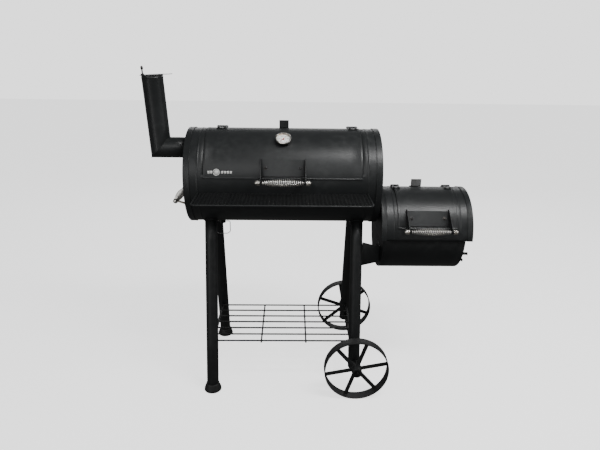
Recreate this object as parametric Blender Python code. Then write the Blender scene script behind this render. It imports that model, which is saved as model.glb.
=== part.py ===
"""Offset smoker: a horizontal cooking chamber on four splayed legs, with a side firebox,
an elbowed smokestack, a front shelf, a bottom rack and two spoked wheels.

The chamber is laid out about its own axis: X runs along it, Y points to the back and Z up.
One empty, model_origin, then carries everything so that the origin is the middle of the
footprint, at floor level. Angles round a drum are measured from its front, over the top.
"""
import math

import bmesh
import bpy
from mathutils import Matrix, Vector

# ---------------------------------------------------------------- driving sizes, in metres
GAP = 0.0003                 # air left between pieces that touch
STEP_DEG = 360.0 / 64.0      # facet of the big drums

CHAMBER_R = 0.2032
CHAMBER_LEN = 0.817
CHAMBER_Z = 0.9452           # height of the chamber's axis
SHEET = 0.0025               # wall of the drums
CAP_SKIRT = 0.026            # how far an end cap laps over the drum
CAP_SHEET = 0.0022

DOOR_SHEET = 0.0020
DOOR_GAP = 0.0015            # air under a closed door
CHAMBER_DOOR_END = 0.0579     # bare drum between a cap's skirt and the door
CHAMBER_DOOR_FROM = 9.0      # degrees above the front
DOOR_BACK = 90.5             # degrees, just behind the crest
DOOR_LAP = 0.012             # how far a door laps over its opening
OPENING_BACK = 84.0

FIREBOX_R = 0.1863
FIREBOX_Z = 0.7044
HOOD_LEN = 0.3938
HOOD_CLEAR = 0.0108          # air between the chamber's end cap and the hood
HOOD_SKIRT = 0.024
TROUGH_LESS = 0.0060         # the trough is this much smaller in radius than the hood
TROUGH_SETBACK_LEFT = 0.0110
TROUGH_SETBACK_RIGHT = 0.0280
TROUGH_RISE = 0.010          # how far the trough reaches up inside the hood
FIREBOX_DOOR_END = 0.0459     # bare hood between a skirt and the door
FIREBOX_DOOR_FROM = 17.0

PIN_BACK = 0.020             # a hinge pin stands this far behind the crest
PIN_RISE = 0.0054            # and this far above the drum
PIN_R = 0.0022
PIN_PLAY = 0.0004
KNUCKLE_R = 0.0046
LEAF = 0.0024
CHAMBER_HINGE_IN = 0.0446     # middle of a hinge, in from the door's edge
CHAMBER_HINGE_SHIFT = 0.015   # both of its hinges stand this far to the right
CHAMBER_HINGE_W = 0.043
FIREBOX_HINGE_IN = 0.012
FIREBOX_HINGE_W = 0.034
CHAMBER_OPEN_DEG = 120.0
FIREBOX_OPEN_DEG = 115.0
STOP_W = 0.041
FIREBOX_STOP_W = 0.047
STOP_T = 0.004
FIREBOX_STOP_SHIFT = 0.0165  # its strap stands a little left of the middle
STOP_RISE = 0.0265           # top of a stop strap above the pin

THROAT_OVER_DRUM = 0.0380    # throat's floor above the lowest line of the chamber
THROAT_UNDER_HOOD = 0.0317   # throat's roof under the crest of the hood
THROAT_EDGE = 0.0165         # plate left beside the throat in either end
THROAT_WALL = 0.0025

STACK_R = 0.0445
STACK_WALL = 0.0020
STACK_RISE = 0.1181          # stack inlet above the chamber's axis
STACK_OUT = 0.1253           # elbow centre, out from the end cap
STACK_TALL = 0.3025          # top centre above the elbow centre
STACK_LEAN = 3.0             # degrees, outward
FLAP_T = 0.0016
FLAP_OVER = 0.0060
FLAP_TAB = 0.040
FLAP_TAB_W = 0.022
STUD_R = 0.0030
STUD_ABOVE = 0.030
STUD_BELOW = 0.030

LEG_R = 0.0263
LEG_WALL = 0.0020
LEG_LEFT_IN = 0.0915         # leg centres, in from the chamber's ends
LEG_RIGHT_IN = 0.0853
LEG_SPREAD_LOW = 0.2497      # leg centre from the middle, at the floor
LEG_SPREAD_HIGH = 0.0872     # and at LEG_SPREAD_Z
LEG_SPREAD_Z = 0.775
LEG_UNDER_AXLE = 0.034
FOOT_R = 0.0384
FOOT_TALL = 0.035
SADDLE_T = 0.003
SADDLE_W = 0.048
SADDLE_PAST_LEG = 0.6        # degrees that a saddle reaches past the legs

AXLE_R = 0.008
WHEEL_R = 0.1423
WHEEL_BAND = 0.045
WHEEL_RIM = 0.005
WHEEL_SPREAD = 0.2973        # wheel centre plane from the middle
WHEEL_PAST_LEG = 0.0027       # axle, right of the leg centres
SPOKES = 6
SPOKE_W = 0.017
SPOKE_T = 0.005
HUB_R = 0.0225
HUB_LEN = 0.072
WHEEL_PLAY = 0.0006
FRONT_WHEEL_TURN = 11.5      # degrees, as the wheels happen to stand
REAR_WHEEL_TURN = 41.0

RACK_Z = 0.2054
RACK_WIRES = 7
RACK_EDGE = 0.0046           # outermost wire, in from the end of an end bar
RACK_WIRE_R = 0.0036
RACK_END_R = 0.0055
RACK_CROSS_X = (-0.0987, 0.1055)

SHELF_Z = 0.914
SHELF_FRONT = 0.378
SHELF_END = 0.0555           # shelf's end, in from the chamber's
SHELF_EDGE_R = 0.0038
SHELF_CORNER = 0.022
SHELF_SHEET = 0.0024
SHELF_RIB_X = 0.200
SHELF_RIB_W = 0.020
SHELF_RIB_T = 0.003

GRATE_DROP = 0.030           # grate frame under the chamber's axis
GRATE_BAR_R = 0.0028
GRATE_BARS = 10
GRATE_FRAME_W = 0.018
GRATE_FRAME_T = 0.003
COAL_DROP = 0.062
COAL_BARS = 7
COAL_BAR_R = 0.0045

HANDLE_HALF = 0.090          # ear from the handle's middle
HANDLE_OUT = 0.055           # bar out from the panel
HANDLE_DROP = 0.012          # bar below the panel's edge
HANDLE_TALL = 0.083          # tip of an ear above the panel's edge
PLATE_TALL = 0.070
EAR_T = 0.0025
EAR_END_R = 0.0095
BAR_R = 0.0040
BAR_PLAY = 0.0004
KNOB_R = 0.0110
KNOB_LEN = 0.021
GRIP_MID_R = 0.0165
GRIP_END_R = 0.0070
GRIP_HALF = 0.0850
SIDE_HANDLE_DROP = 0.0952    # its bar under the chamber's axis
SIDE_LEG_W = 0.010
SIDE_LEG_DROP = 0.018

GAUGE_DEG = 55.5             # thermometer, degrees above the front
GAUGE_R = 0.0315
GAUGE_TALL = 0.018
GAUGE_WALL = 0.0022
GAUGE_FLOOR = 0.010
NEEDLE_LEN = 0.0205
NEEDLE_W = 0.0030
NEEDLE_T = 0.0008
NEEDLE_LIFT = 0.0030
GLASS_T = 0.0015

VENT_OVERHANG = 0.0042       # guide's lower corner past the trough's rim
VENT_DROP = 0.0784           # slide's middle under the firebox's axis
VENT_LEAD = 0.016            # slide's plate in front of its tab
VENT_RAIL = 0.006
VENT_TRAVEL = 0.050
VENT_W = 0.100
VENT_H = 0.046
VENT_T = 0.0020
VENT_TAB_OUT = 0.030
VENT_TAB_W = 0.026
VENT_HOLE = 0.030

SUPPORT_T = 0.004
SUPPORT_LOW = 0.124          # bracket's lower edge under the firebox's axis
SUPPORT_TALL = 0.074
SUPPORT_FLARE = 0.018        # how much taller it is at the leg, each way
SUPPORT_FLANGE = 0.090

DRAIN_IN = 0.131             # from the chamber's left end
DRAIN_R = 0.0130
DRAIN_WALL = 0.0020
DRAIN_LEN = 0.026
HANGER_R = 0.0016
HANGER_HALF = 0.033
HANGER_DROP = 0.060

# ---------------------------------------------------------------- sizes that follow
CHAMBER_HALF = CHAMBER_LEN / 2
CAP_R = CHAMBER_R + GAP + CAP_SHEET
HOOD_X0 = CHAMBER_HALF + HOOD_CLEAR
HOOD_X1 = HOOD_X0 + HOOD_LEN
HOOD_MID = HOOD_X0 + HOOD_LEN / 2
CHAMBER_DOOR_LEN = CHAMBER_LEN - 2 * (CAP_SKIRT + CHAMBER_DOOR_END)
FIREBOX_DOOR_LEN = HOOD_LEN - 2 * (HOOD_SKIRT + FIREBOX_DOOR_END)
CHAMBER_HINGE_X = CHAMBER_DOOR_LEN / 2 - CHAMBER_HINGE_IN
FIREBOX_HINGE_X = FIREBOX_DOOR_LEN / 2 - FIREBOX_HINGE_IN
TROUGH_R = FIREBOX_R - TROUGH_LESS
TROUGH_X0 = HOOD_X0 + TROUGH_SETBACK_LEFT
TROUGH_X1 = HOOD_X1 - TROUGH_SETBACK_RIGHT
LEG_SLOPE = (LEG_SPREAD_LOW - LEG_SPREAD_HIGH) / LEG_SPREAD_Z
LEAN = math.radians(STACK_LEAN)
ELBOW = Vector((-CHAMBER_HALF - STACK_OUT, 0.0, CHAMBER_Z + STACK_RISE))
STACK_TOP = ELBOW + Vector((-STACK_TALL * math.tan(LEAN), 0.0, STACK_TALL))
GRATE_Z = CHAMBER_Z - GRATE_DROP
COAL_Z = FIREBOX_Z - COAL_DROP
LEG_LEFT_X = LEG_LEFT_IN - CHAMBER_HALF
LEG_RIGHT_X = CHAMBER_HALF - LEG_RIGHT_IN
WHEEL_X = LEG_RIGHT_X + WHEEL_PAST_LEG
DRAIN_X = DRAIN_IN - CHAMBER_HALF
SHELF_HALF = CHAMBER_HALF - SHELF_END
SIDE_HANDLE_Z = CHAMBER_Z - SIDE_HANDLE_DROP
THROAT_LOW = CHAMBER_Z - CHAMBER_R + THROAT_OVER_DRUM
THROAT_HIGH = FIREBOX_Z + FIREBOX_R - THROAT_UNDER_HOOD
THROAT_HALF = min(math.sqrt(CHAMBER_R ** 2 - (CHAMBER_Z - THROAT_LOW) ** 2),
                  math.sqrt(FIREBOX_R ** 2 - (THROAT_HIGH - FIREBOX_Z) ** 2)) - THROAT_EDGE
VENT_Z = FIREBOX_Z - VENT_DROP
VENT_Y = VENT_LEAD + 0.004 - math.sqrt((TROUGH_R + VENT_OVERHANG) ** 2
                                       - (VENT_DROP + VENT_H / 2 + VENT_RAIL) ** 2)


# ---------------------------------------------------------------- materials
def paint(name, colour, roughness, metallic):
    """One Principled material."""
    made = bpy.data.materials.new(name)
    made.use_nodes = True
    shader = made.node_tree.nodes["Principled BSDF"]
    shader.inputs["Base Color"].default_value = (*colour, 1.0)
    shader.inputs["Roughness"].default_value = roughness
    shader.inputs["Metallic"].default_value = metallic
    return made


def make_finishes():
    """The finishes, by name."""
    return {
        "black_paint": paint("black_paint", (0.020, 0.022, 0.023), 0.48, 0.0),
        "chrome": paint("chrome", (0.78, 0.77, 0.74), 0.14, 1.0),
        "raw_steel": paint("raw_steel", (0.30, 0.30, 0.30), 0.45, 1.0),
        "cast_iron": paint("cast_iron", (0.035, 0.033, 0.031), 0.70, 0.2),
        "dial_red": paint("dial_red", (0.50, 0.03, 0.02), 0.40, 0.0),
        "clear_glass": paint("clear_glass", (0.90, 0.92, 0.92), 0.05, 0.0),
    }


# ---------------------------------------------------------------- mesh makers
def solid_from(points, faces):
    """A scratch object of these points and faces, with its faces turned outwards."""
    mesh = bpy.data.meshes.new("scratch")
    mesh.from_pydata([tuple(p) for p in points], [], faces)
    work = bmesh.new()
    work.from_mesh(mesh)
    bmesh.ops.remove_doubles(work, verts=work.verts, dist=1e-6)
    bmesh.ops.recalc_face_normals(work, faces=work.faces)
    work.to_mesh(mesh)
    work.free()
    made = bpy.data.objects.new("scratch", mesh)
    bpy.context.collection.objects.link(made)
    return made


def lift(axis, flat, along):
    """A point of a flat outline, put at a place along the axis X, Y or Z."""
    a, b = flat
    return {"X": (along, a, b), "Y": (a, along, b), "Z": (a, b, along)}[axis]


def prism(outline, axis, low, high):
    """A flat outline carried straight along an axis, closed at both ends."""
    count = len(outline)
    points = [lift(axis, p, low) for p in outline] + [lift(axis, p, high) for p in outline]
    faces = [list(range(count)), list(range(count, 2 * count))]
    for i in range(count):
        j = (i + 1) % count
        faces.append([i, j, count + j, count + i])
    return solid_from(points, faces)


def loft(rings, closed=False):
    """Rings of equal count joined in order; the ends are capped unless the loft closes on itself."""
    count = len(rings[0])
    points = [p for ring in rings for p in ring]
    faces = []
    spans = len(rings) if closed else len(rings) - 1
    for k in range(spans):
        here = k * count
        there = ((k + 1) % len(rings)) * count
        for i in range(count):
            j = (i + 1) % count
            faces.append([here + i, here + j, there + j, there + i])
    if not closed:
        faces.append(list(range(count)))
        faces.append(list(range((len(rings) - 1) * count, len(rings) * count)))
    return solid_from(points, faces)


def block(x0, x1, y0, y1, z0, z1):
    """A rectangular block."""
    return prism([(x0, y0), (x1, y0), (x1, y1), (x0, y1)], "Z", z0, z1)


def circle(a, b, radius, sides, turn=0.0):
    """Points round a flat circle."""
    steps = [turn + 2 * math.pi * i / sides for i in range(sides)]
    return [(a + radius * math.cos(t), b + radius * math.sin(t)) for t in steps]


def on_drum(radius, degrees, z):
    """The (y, z) point of a drum at an angle above its front."""
    t = math.radians(degrees)
    return (-radius * math.cos(t), z + radius * math.sin(t))


def drum_arc(radius, start, stop, z):
    """Points round a drum, at both ends and at each facet corner between."""
    inner = [k * STEP_DEG for k in range(-64, 65) if start + 1e-6 < k * STEP_DEG < stop - 1e-6]
    return [on_drum(radius, d, z) for d in [start, *inner, stop]]


def band(r_in, r_out, start, stop, x0, x1, z):
    """A curved sheet round a drum's axis."""
    outline = drum_arc(r_out, start, stop, z) + drum_arc(r_in, start, stop, z)[::-1]
    return prism(outline, "X", x0, x1)


def turned(profile, place, sides=32):
    """A (radius, height) profile turned about Z and then put in place by a matrix."""
    rings = []
    for k in range(sides):
        t = 2 * math.pi * k / sides
        rings.append([place @ Vector((r * math.cos(t), r * math.sin(t), h)) for r, h in profile])
    points = [p for ring in rings for p in ring]
    count = len(profile)
    faces = []
    for k in range(sides):
        here = k * count
        there = ((k + 1) % sides) * count
        for i in range(count):
            j = (i + 1) % count
            if max(profile[i][0], profile[j][0]) < 1e-9:
                continue
            faces.append([here + i, here + j, there + j, there + i])
    mesh = solid_from(points, [])
    work = bmesh.new()
    verts = [work.verts.new(p) for p in points]
    for face in faces:
        work.faces.new([verts[i] for i in face])
    bmesh.ops.remove_doubles(work, verts=work.verts, dist=1e-6)
    bmesh.ops.dissolve_degenerate(work, edges=work.edges, dist=1e-6)
    bmesh.ops.recalc_face_normals(work, faces=work.faces)
    work.to_mesh(mesh.data)
    work.free()
    return mesh


def rod(path, radius, sides=8):
    """A round rod along a path, mitred at each bend and flat at both ends."""
    stops = [Vector(p) for p in path]
    rings = []
    along = (stops[1] - stops[0]).normalized()
    side = along.cross(Vector((0.0, 0.0, 1.0)))
    if side.length < 0.1:
        side = along.cross(Vector((0.0, 1.0, 0.0)))
    side.normalize()
    for k, here in enumerate(stops):
        before = (here - stops[k - 1]).normalized() if k else along
        after = (stops[k + 1] - here).normalized() if k + 1 < len(stops) else before
        lead = side - before * side.dot(before)
        lead.normalize()
        other = before.cross(lead)
        cut = before + after
        ring = []
        for i in range(sides):
            t = 2 * math.pi * (i + 0.5) / sides
            spot = lead * (radius * math.cos(t)) + other * (radius * math.sin(t))
            spot -= before * (spot.dot(cut) / before.dot(cut))
            ring.append(here + spot)
        rings.append(ring)
        side = lead - after * lead.dot(after)
        side.normalize()
    return loft(rings)


def bake(target, maker):
    """Replace an object's mesh with its evaluated one and drop its modifiers."""
    bpy.context.view_layer.update()
    graph = bpy.context.evaluated_depsgraph_get()
    mesh = bpy.data.meshes.new_from_object(target.evaluated_get(graph))
    target.modifiers.remove(maker)
    target.data = mesh


def combine(target, others, how):
    """Boolean the other solids into the target, one after another, and remove them."""
    for other in others:
        maker = target.modifiers.new("combine", "BOOLEAN")
        maker.operation = how
        maker.solver = "EXACT"
        maker.object = other
        bake(target, maker)
        bpy.data.objects.remove(other)
    return target


def join(target, *others):
    """Weld solids into one body."""
    return combine(target, others, "UNION")


def cut(target, *others):
    """Cut solids out of the target."""
    return combine(target, others, "DIFFERENCE")


def tube_along_x(r_out, r_in, x0, x1, z, sides=64):
    """A round tube along X."""
    outer = circle(0.0, z, r_out, sides)
    inner = circle(0.0, z, r_in, sides)
    rings = [[lift("X", p, x) for p in ring]
             for ring, x in ((outer, x0), (outer, x1), (inner, x1), (inner, x0))]
    return loft(rings, closed=True)


def cylinder(axis, a, b, radius, low, high, sides=16):
    """A solid cylinder along an axis."""
    return prism(circle(a, b, radius, sides), axis, low, high)


# ---------------------------------------------------------------- placing
def empty_at(name, place, parent=None):
    """An empty that marks a joint's axis or the model's origin."""
    made = bpy.data.objects.new(name, None)
    made.empty_display_size = 0.03
    bpy.context.collection.objects.link(made)
    made.parent = parent
    made.location = place
    return made


def finish(made, name, material, pivot):
    """Name a piece, give it its material and hang it from its empty."""
    made.name = name
    made.data.name = name
    made.data.materials.clear()
    made.data.materials.append(material)
    made.data.transform(Matrix.Translation(-Vector(pivot.location if pivot.parent else (0, 0, 0))))
    made.parent = pivot
    for face in made.data.polygons:
        face.use_smooth = True
    made.data.set_sharp_from_angle(angle=math.radians(32.0))
    return made


# ---------------------------------------------------------------- the cooking chamber
def make_chamber(look, root):
    """The drum, its two end caps and the throat to the firebox."""
    inset = 0.006
    shell = tube_along_x(CHAMBER_R, CHAMBER_R - SHEET, inset - CHAMBER_HALF, CHAMBER_HALF - inset, CHAMBER_Z)
    lap = math.degrees(DOOR_LAP / CHAMBER_R)
    half = CHAMBER_DOOR_LEN / 2 - DOOR_LAP
    opening = band(CHAMBER_R - 0.02, CHAMBER_R + 0.02, CHAMBER_DOOR_FROM + lap, OPENING_BACK,
                   -half, half, CHAMBER_Z)
    drain = cylinder("Z", DRAIN_X, 0.0, DRAIN_R + GAP, CHAMBER_Z - CHAMBER_R - 0.02,
                     CHAMBER_Z - CHAMBER_R + 0.02)
    finish(cut(shell, opening, drain), "chamber_shell", look["black_paint"], root)
    left = end_cap(-1)
    stack_hole = cylinder("X", 0.0, CHAMBER_Z + STACK_RISE, STACK_R + GAP, -CHAMBER_HALF - 0.01,
                          -CHAMBER_HALF + 0.01, 40)
    finish(cut(left, stack_hole), "chamber_end_left", look["black_paint"], root)
    finish(cut(end_cap(1), throat_hole(CHAMBER_HALF)), "chamber_end_right", look["black_paint"], root)
    throat = block(CHAMBER_HALF - 0.007, HOOD_X0 + 0.008, -THROAT_HALF, THROAT_HALF, THROAT_LOW, THROAT_HIGH)
    bore = block(CHAMBER_HALF - 0.02, HOOD_X0 + 0.02, THROAT_WALL - THROAT_HALF, THROAT_HALF - THROAT_WALL,
                 THROAT_LOW + THROAT_WALL, THROAT_HIGH - THROAT_WALL)
    finish(cut(throat, bore), "heat_throat", look["black_paint"], root)


def end_cap(side):
    """A pressed end cap with a skirt that laps over the drum; side is -1 left, 1 right."""
    press = 0.004
    profile = [(CAP_R - press, 0.0), (CAP_R, press), (CAP_R, CAP_SKIRT), (CAP_R - CAP_SHEET, CAP_SKIRT),
               (CAP_R - CAP_SHEET, CAP_SHEET + 0.003), (CAP_R - CAP_SHEET - 0.003, CAP_SHEET)]
    rings = []
    for radius, depth in profile:
        x = side * (CHAMBER_HALF - depth)
        rings.append([lift("X", p, x) for p in circle(0.0, CHAMBER_Z, radius, 64)])
    return loft(rings)


def throat_hole(x):
    """The cutter for the throat's hole in an end plate."""
    return block(x - 0.012, x + 0.012, -THROAT_HALF - GAP, THROAT_HALF + GAP, THROAT_LOW - GAP,
                 THROAT_HIGH + GAP)


def make_grates(look, root):
    """The ledge frame inside the chamber, the two cooking grates and the charcoal grate."""
    inside = (CHAMBER_R - SHEET) * math.cos(math.radians(STEP_DEG / 2))
    half_y = math.sqrt(inside ** 2 - GRATE_DROP ** 2) - GAP
    half_x = CHAMBER_HALF - 0.010
    top = GRATE_Z + GRATE_FRAME_T
    frame = block(-half_x, half_x, -half_y, half_y, GRATE_Z, top)
    inner = block(GRATE_FRAME_W - half_x, half_x - GRATE_FRAME_W, GRATE_FRAME_W - half_y,
                  half_y - GRATE_FRAME_W, GRATE_Z - 0.01, top + 0.01)
    finish(cut(frame, inner), "grate_frame", look["raw_steel"], root)
    level = top + GAP + 3 * GRATE_BAR_R
    reach = half_y - 0.006
    for name, x0, x1 in (("cooking_grate_left", -half_x + 0.004, -0.003),
                         ("cooking_grate_right", 0.003, half_x - 0.004)):
        grate = bar_grate("Y", (x0, x1), (-reach, reach), level, GRATE_BARS, GRATE_BAR_R)
        finish(grate, name, look["chrome"], root)
    inside = (TROUGH_R - SHEET) * math.cos(math.radians(STEP_DEG / 2))
    drop = COAL_DROP + 3 * COAL_BAR_R
    reach = math.sqrt(inside ** 2 - drop ** 2) - COAL_BAR_R
    grate = bar_grate("X", (-reach, reach), (TROUGH_X0 + SHEET + 0.004, TROUGH_X1 - SHEET - 0.004),
                      COAL_Z, COAL_BARS, COAL_BAR_R)
    finish(grate, "charcoal_grate", look["cast_iron"], root)


def bar_grate(axis, across, along, z, count, radius):
    """Parallel bars on three cross bars; axis is the way the bars run."""
    def spot(a, b, level):
        return (a, b, level) if axis == "Y" else (b, a, level)

    low, high = across[0] + radius, across[1] - radius
    under = z - 1.6 * radius
    grate = None
    for t in (0.04, 0.5, 0.96):
        b = along[0] + t * (along[1] - along[0])
        cross = rod([spot(across[0], b, under), spot(across[1], b, under)], radius, 6)
        grate = cross if grate is None else join(grate, cross)
    for i in range(count):
        a = low + (high - low) * (i + 0.5) / count
        grate = join(grate, rod([spot(a, along[0], z), spot(a, along[1], z)], radius, 6))
    return grate


# ---------------------------------------------------------------- the firebox
def half_drum(radius, x0, x1, start, stop, z, extra):
    """A solid half drum; extra moves its flat side away from the axis."""
    arc = drum_arc(radius, start, stop, z)
    flat = z + extra
    return prism([*arc, (arc[-1][0], flat), (arc[0][0], flat)], "X", x0, x1)


def make_firebox(look, root):
    """The hood, the trough under it, its bracket on the right legs and the air inlet."""
    skin = 0.0018
    hood = half_drum(FIREBOX_R, HOOD_X0, HOOD_X1, 0.0, 180.0, FIREBOX_Z, -0.0002)
    for x0, x1 in ((HOOD_X0 + 0.0006, HOOD_X0 + HOOD_SKIRT), (HOOD_X1 - HOOD_SKIRT, HOOD_X1 - 0.0006)):
        hood = join(hood, band(FIREBOX_R - 0.001, FIREBOX_R + skin, 0.0, 180.0, x0, x1, FIREBOX_Z))
    hollow = half_drum(FIREBOX_R - SHEET, HOOD_X0 + SHEET, HOOD_X1 - SHEET, 0.0, 180.0, FIREBOX_Z, -0.01)
    lap = math.degrees(DOOR_LAP / FIREBOX_R)
    half = FIREBOX_DOOR_LEN / 2 - DOOR_LAP
    opening = band(FIREBOX_R - 0.02, FIREBOX_R + 0.02, FIREBOX_DOOR_FROM + lap, OPENING_BACK,
                   HOOD_MID - half, HOOD_MID + half, FIREBOX_Z)
    finish(cut(hood, hollow, opening, throat_hole(HOOD_X0)), "firebox_hood", look["black_paint"], root)
    body = half_drum(TROUGH_R, TROUGH_X0, TROUGH_X1, -180.0, 0.0, FIREBOX_Z, TROUGH_RISE)
    hollow = half_drum(TROUGH_R - SHEET, TROUGH_X0 + SHEET, TROUGH_X1 - SHEET, -180.0, 0.0, FIREBOX_Z,
                       TROUGH_RISE + 0.01)
    inlet = block(TROUGH_X1 - 0.01, TROUGH_X1 + 0.01, VENT_Y - 0.008, VENT_Y - 0.008 + VENT_HOLE,
                  VENT_Z - VENT_HOLE / 2, VENT_Z + VENT_HOLE / 2)
    finish(cut(body, hollow, inlet), "firebox_body", look["black_paint"], root)
    make_support(look, root)


def make_support(look, root):
    """The bracket between the front right leg and the trough: an upright web and its flange."""
    right = TROUGH_X0 - GAP
    left = LEG_RIGHT_X + LEG_R + GAP
    low = FIREBOX_Z - SUPPORT_LOW
    high = low + SUPPORT_TALL
    y = -leg_y((low + high) / 2)
    outline = [(left, low - SUPPORT_FLARE), (right - 0.001, low), (right - 0.001, high),
               (left, high + SUPPORT_FLARE)]
    web = prism(outline, "Y", y - SUPPORT_T / 2, y + SUPPORT_T / 2)
    flange = block(right - SUPPORT_T, right, y - SUPPORT_T / 2 + 0.0002, y + SUPPORT_FLANGE,
                   low + 0.0002, high - 0.0002)
    finish(join(web, flange), "firebox_support", look["black_paint"], root)


def make_vent(look, root, pivot):
    """The air inlet's guide on the trough's end plate, and its sliding plate with a tab."""
    face = TROUGH_X1 + GAP
    rail = VENT_RAIL
    half_h = VENT_H / 2
    y0 = VENT_Y - VENT_LEAD
    y1 = y0 + VENT_W
    guide = block(face, face + rail, y0 - 0.004, y1 + VENT_TRAVEL + 0.004, VENT_Z - half_h - rail,
                  VENT_Z + half_h + rail)
    channel = block(face - 0.01, face + VENT_T + 0.0012, y0 - 0.02, y1 + VENT_TRAVEL + 0.02,
                    VENT_Z - half_h - 0.0005, VENT_Z + half_h + 0.0005)
    window = block(face - 0.01, face + 0.02, VENT_Y - 0.010, VENT_Y + VENT_TRAVEL + 0.020,
                   VENT_Z - VENT_HOLE / 2, VENT_Z + VENT_HOLE / 2)
    finish(cut(guide, channel, window), "vent_guide", look["black_paint"], root)
    plate = block(face + 0.0006, face + 0.0006 + VENT_T, y0, y1, VENT_Z - half_h, VENT_Z + half_h)
    tab = block(face + 0.001, face + VENT_TAB_OUT, VENT_Y - 0.0012, VENT_Y + 0.0012, VENT_Z - 0.0065,
                VENT_Z + 0.0065)
    lip = block(face + VENT_TAB_OUT - 0.0024, face + VENT_TAB_OUT, VENT_Y - 0.0060, VENT_Y + 0.0010,
                VENT_Z - 0.0064, VENT_Z + 0.0064)
    finish(join(plate, tab, lip), "vent_slide", look["black_paint"], pivot)


# ---------------------------------------------------------------- doors, hinges and stops
def make_door(name, radius, z, start, x_mid, length, look, pivot, hole=None):
    """A rolled door over a drum's opening."""
    low = radius + DOOR_GAP
    door = band(low, low + DOOR_SHEET, start, DOOR_BACK, x_mid - length / 2, x_mid + length / 2, z)
    if hole:
        door = cut(door, hole)
    finish(door, name, look["black_paint"], pivot)


def make_hinge(name, x, width, radius, z, look, root, pivot):
    """A butt hinge over the crest: a fixed leaf, a pin and the moving leaf on the door."""
    pin_z = z + radius + PIN_RISE
    third = width / 6
    clear = KNUCKLE_R + 0.0006
    start = 90.0 + math.degrees(math.asin((PIN_BACK - 0.002) / radius))
    reach = math.degrees(0.026 / radius)
    fixed = band(radius + GAP, radius + GAP + LEAF, start, start + reach, x - width / 2, x + width / 2, z)
    top = z + math.sqrt((radius + GAP + LEAF / 2) ** 2 - (PIN_BACK + 0.0015) ** 2)
    web = block(x - third, x + third, PIN_BACK + 0.0015, PIN_BACK + KNUCKLE_R - 0.0004, top, pin_z)
    knuckle = cylinder("X", PIN_BACK, pin_z, KNUCKLE_R, x - third, x + third)
    sides = [cylinder("X", PIN_BACK, pin_z, clear, x + s * third, x + s * (width / 2 + 0.01))
             for s in (-1, 1)]
    fixed = join(fixed, web, knuckle)
    for side in sides:
        fixed = cut(fixed, side)
    bore = cylinder("X", PIN_BACK, pin_z, PIN_R + PIN_PLAY, x - width, x + width, 12)
    finish(cut(fixed, bore), name + "_fixed_leaf", look["black_paint"], root)
    low = radius + DOOR_GAP + DOOR_SHEET + GAP
    moving = band(low, low + LEAF, DOOR_BACK - 0.4 - reach, DOOR_BACK - 0.4, x - width / 2, x + width / 2, z)
    strap = block(x - width / 2 + 0.0002, x + width / 2 - 0.0002, -0.004, PIN_BACK - 0.0035,
                  z + low + 0.0002, z + low + LEAF - 0.0002)
    moving = join(moving, strap)
    for s in (-1, 1):
        ends = sorted((x + s * (third + 0.0005), x + s * (width / 2 - 0.0001)))
        moving = join(moving, cylinder("X", PIN_BACK, pin_z, KNUCKLE_R, *ends))
    middle = cylinder("X", PIN_BACK, pin_z, clear, x - third - 0.0005, x + third + 0.0005)
    bore = cylinder("X", PIN_BACK, pin_z, PIN_R + PIN_PLAY, x - width, x + width, 12)
    finish(cut(moving, middle, bore), name + "_moving_leaf", look["black_paint"], pivot)
    pin = cylinder("X", PIN_BACK, pin_z, PIN_R, x - width / 2 - 0.003, x + width / 2 + 0.003, 12)
    finish(pin, name + "_pin", look["raw_steel"], root)


def make_stop(name, x_mid, width, radius, z, open_deg, paint, root):
    """A bent strap behind the crest that the open door leans on."""
    door_r = radius + DOOR_GAP + DOOR_SHEET
    turn = math.radians(open_deg)
    pin = (PIN_BACK, radius + PIN_RISE)
    y_mid = pin[0] - pin[0] * math.cos(turn) - pin[1] * math.sin(turn)
    z_mid = pin[1] + pin[0] * math.sin(turn) - pin[1] * math.cos(turn)
    top = pin[1] + STOP_RISE
    face = y_mid + math.sqrt(door_r ** 2 - (top - z_mid) ** 2) + 0.0008
    inner = radius + GAP
    a0 = 90.0 + math.degrees(math.asin(face / inner))
    a1 = 90.0 + math.degrees(math.asin((face + STOP_T) / (inner + STOP_T)))
    end = a0 + math.degrees(0.038 / radius)
    outline = drum_arc(inner, a0, end, z) + drum_arc(inner + STOP_T, a1, end, z)[::-1]
    outline += [(face + STOP_T, z + top), (face, z + top)]
    strap = prism(outline, "X", x_mid - width / 2, x_mid + width / 2)
    finish(strap, name, paint, root)


# ---------------------------------------------------------------- handles
def make_bar_and_grip(name, place, look, pivot):
    """The bar with its two acorn nuts, and the barrel-shaped spring grip round it."""
    end = HANDLE_HALF + EAR_T / 2 + 0.0008 + KNOB_LEN
    dome = [(0.0, 0.0), (0.45 * KNOB_R, 0.0010), (0.80 * KNOB_R, 0.0045), (KNOB_R, 0.0100),
            (KNOB_R, KNOB_LEN - 0.0010), (0.9 * KNOB_R, KNOB_LEN), (BAR_R, KNOB_LEN)]
    profile = [(r, h - end) for r, h in dome] + [(r, end - h) for r, h in dome[::-1]]
    finish(turned(profile, place, 12), name + "_rod", look["chrome"], pivot)
    steps = 6
    bore = BAR_R + BAR_PLAY
    outer = []
    for i in range(steps + 1):
        t = 2 * i / steps - 1
        swell = GRIP_END_R + (GRIP_MID_R - GRIP_END_R) * (1 - t * t) ** 0.8
        outer.append((swell, t * GRIP_HALF))
    sleeve = turned([(bore, -GRIP_HALF), *outer, (bore, GRIP_HALF)], place, 12)
    finish(sleeve, name + "_spring", look["chrome"], pivot)


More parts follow.
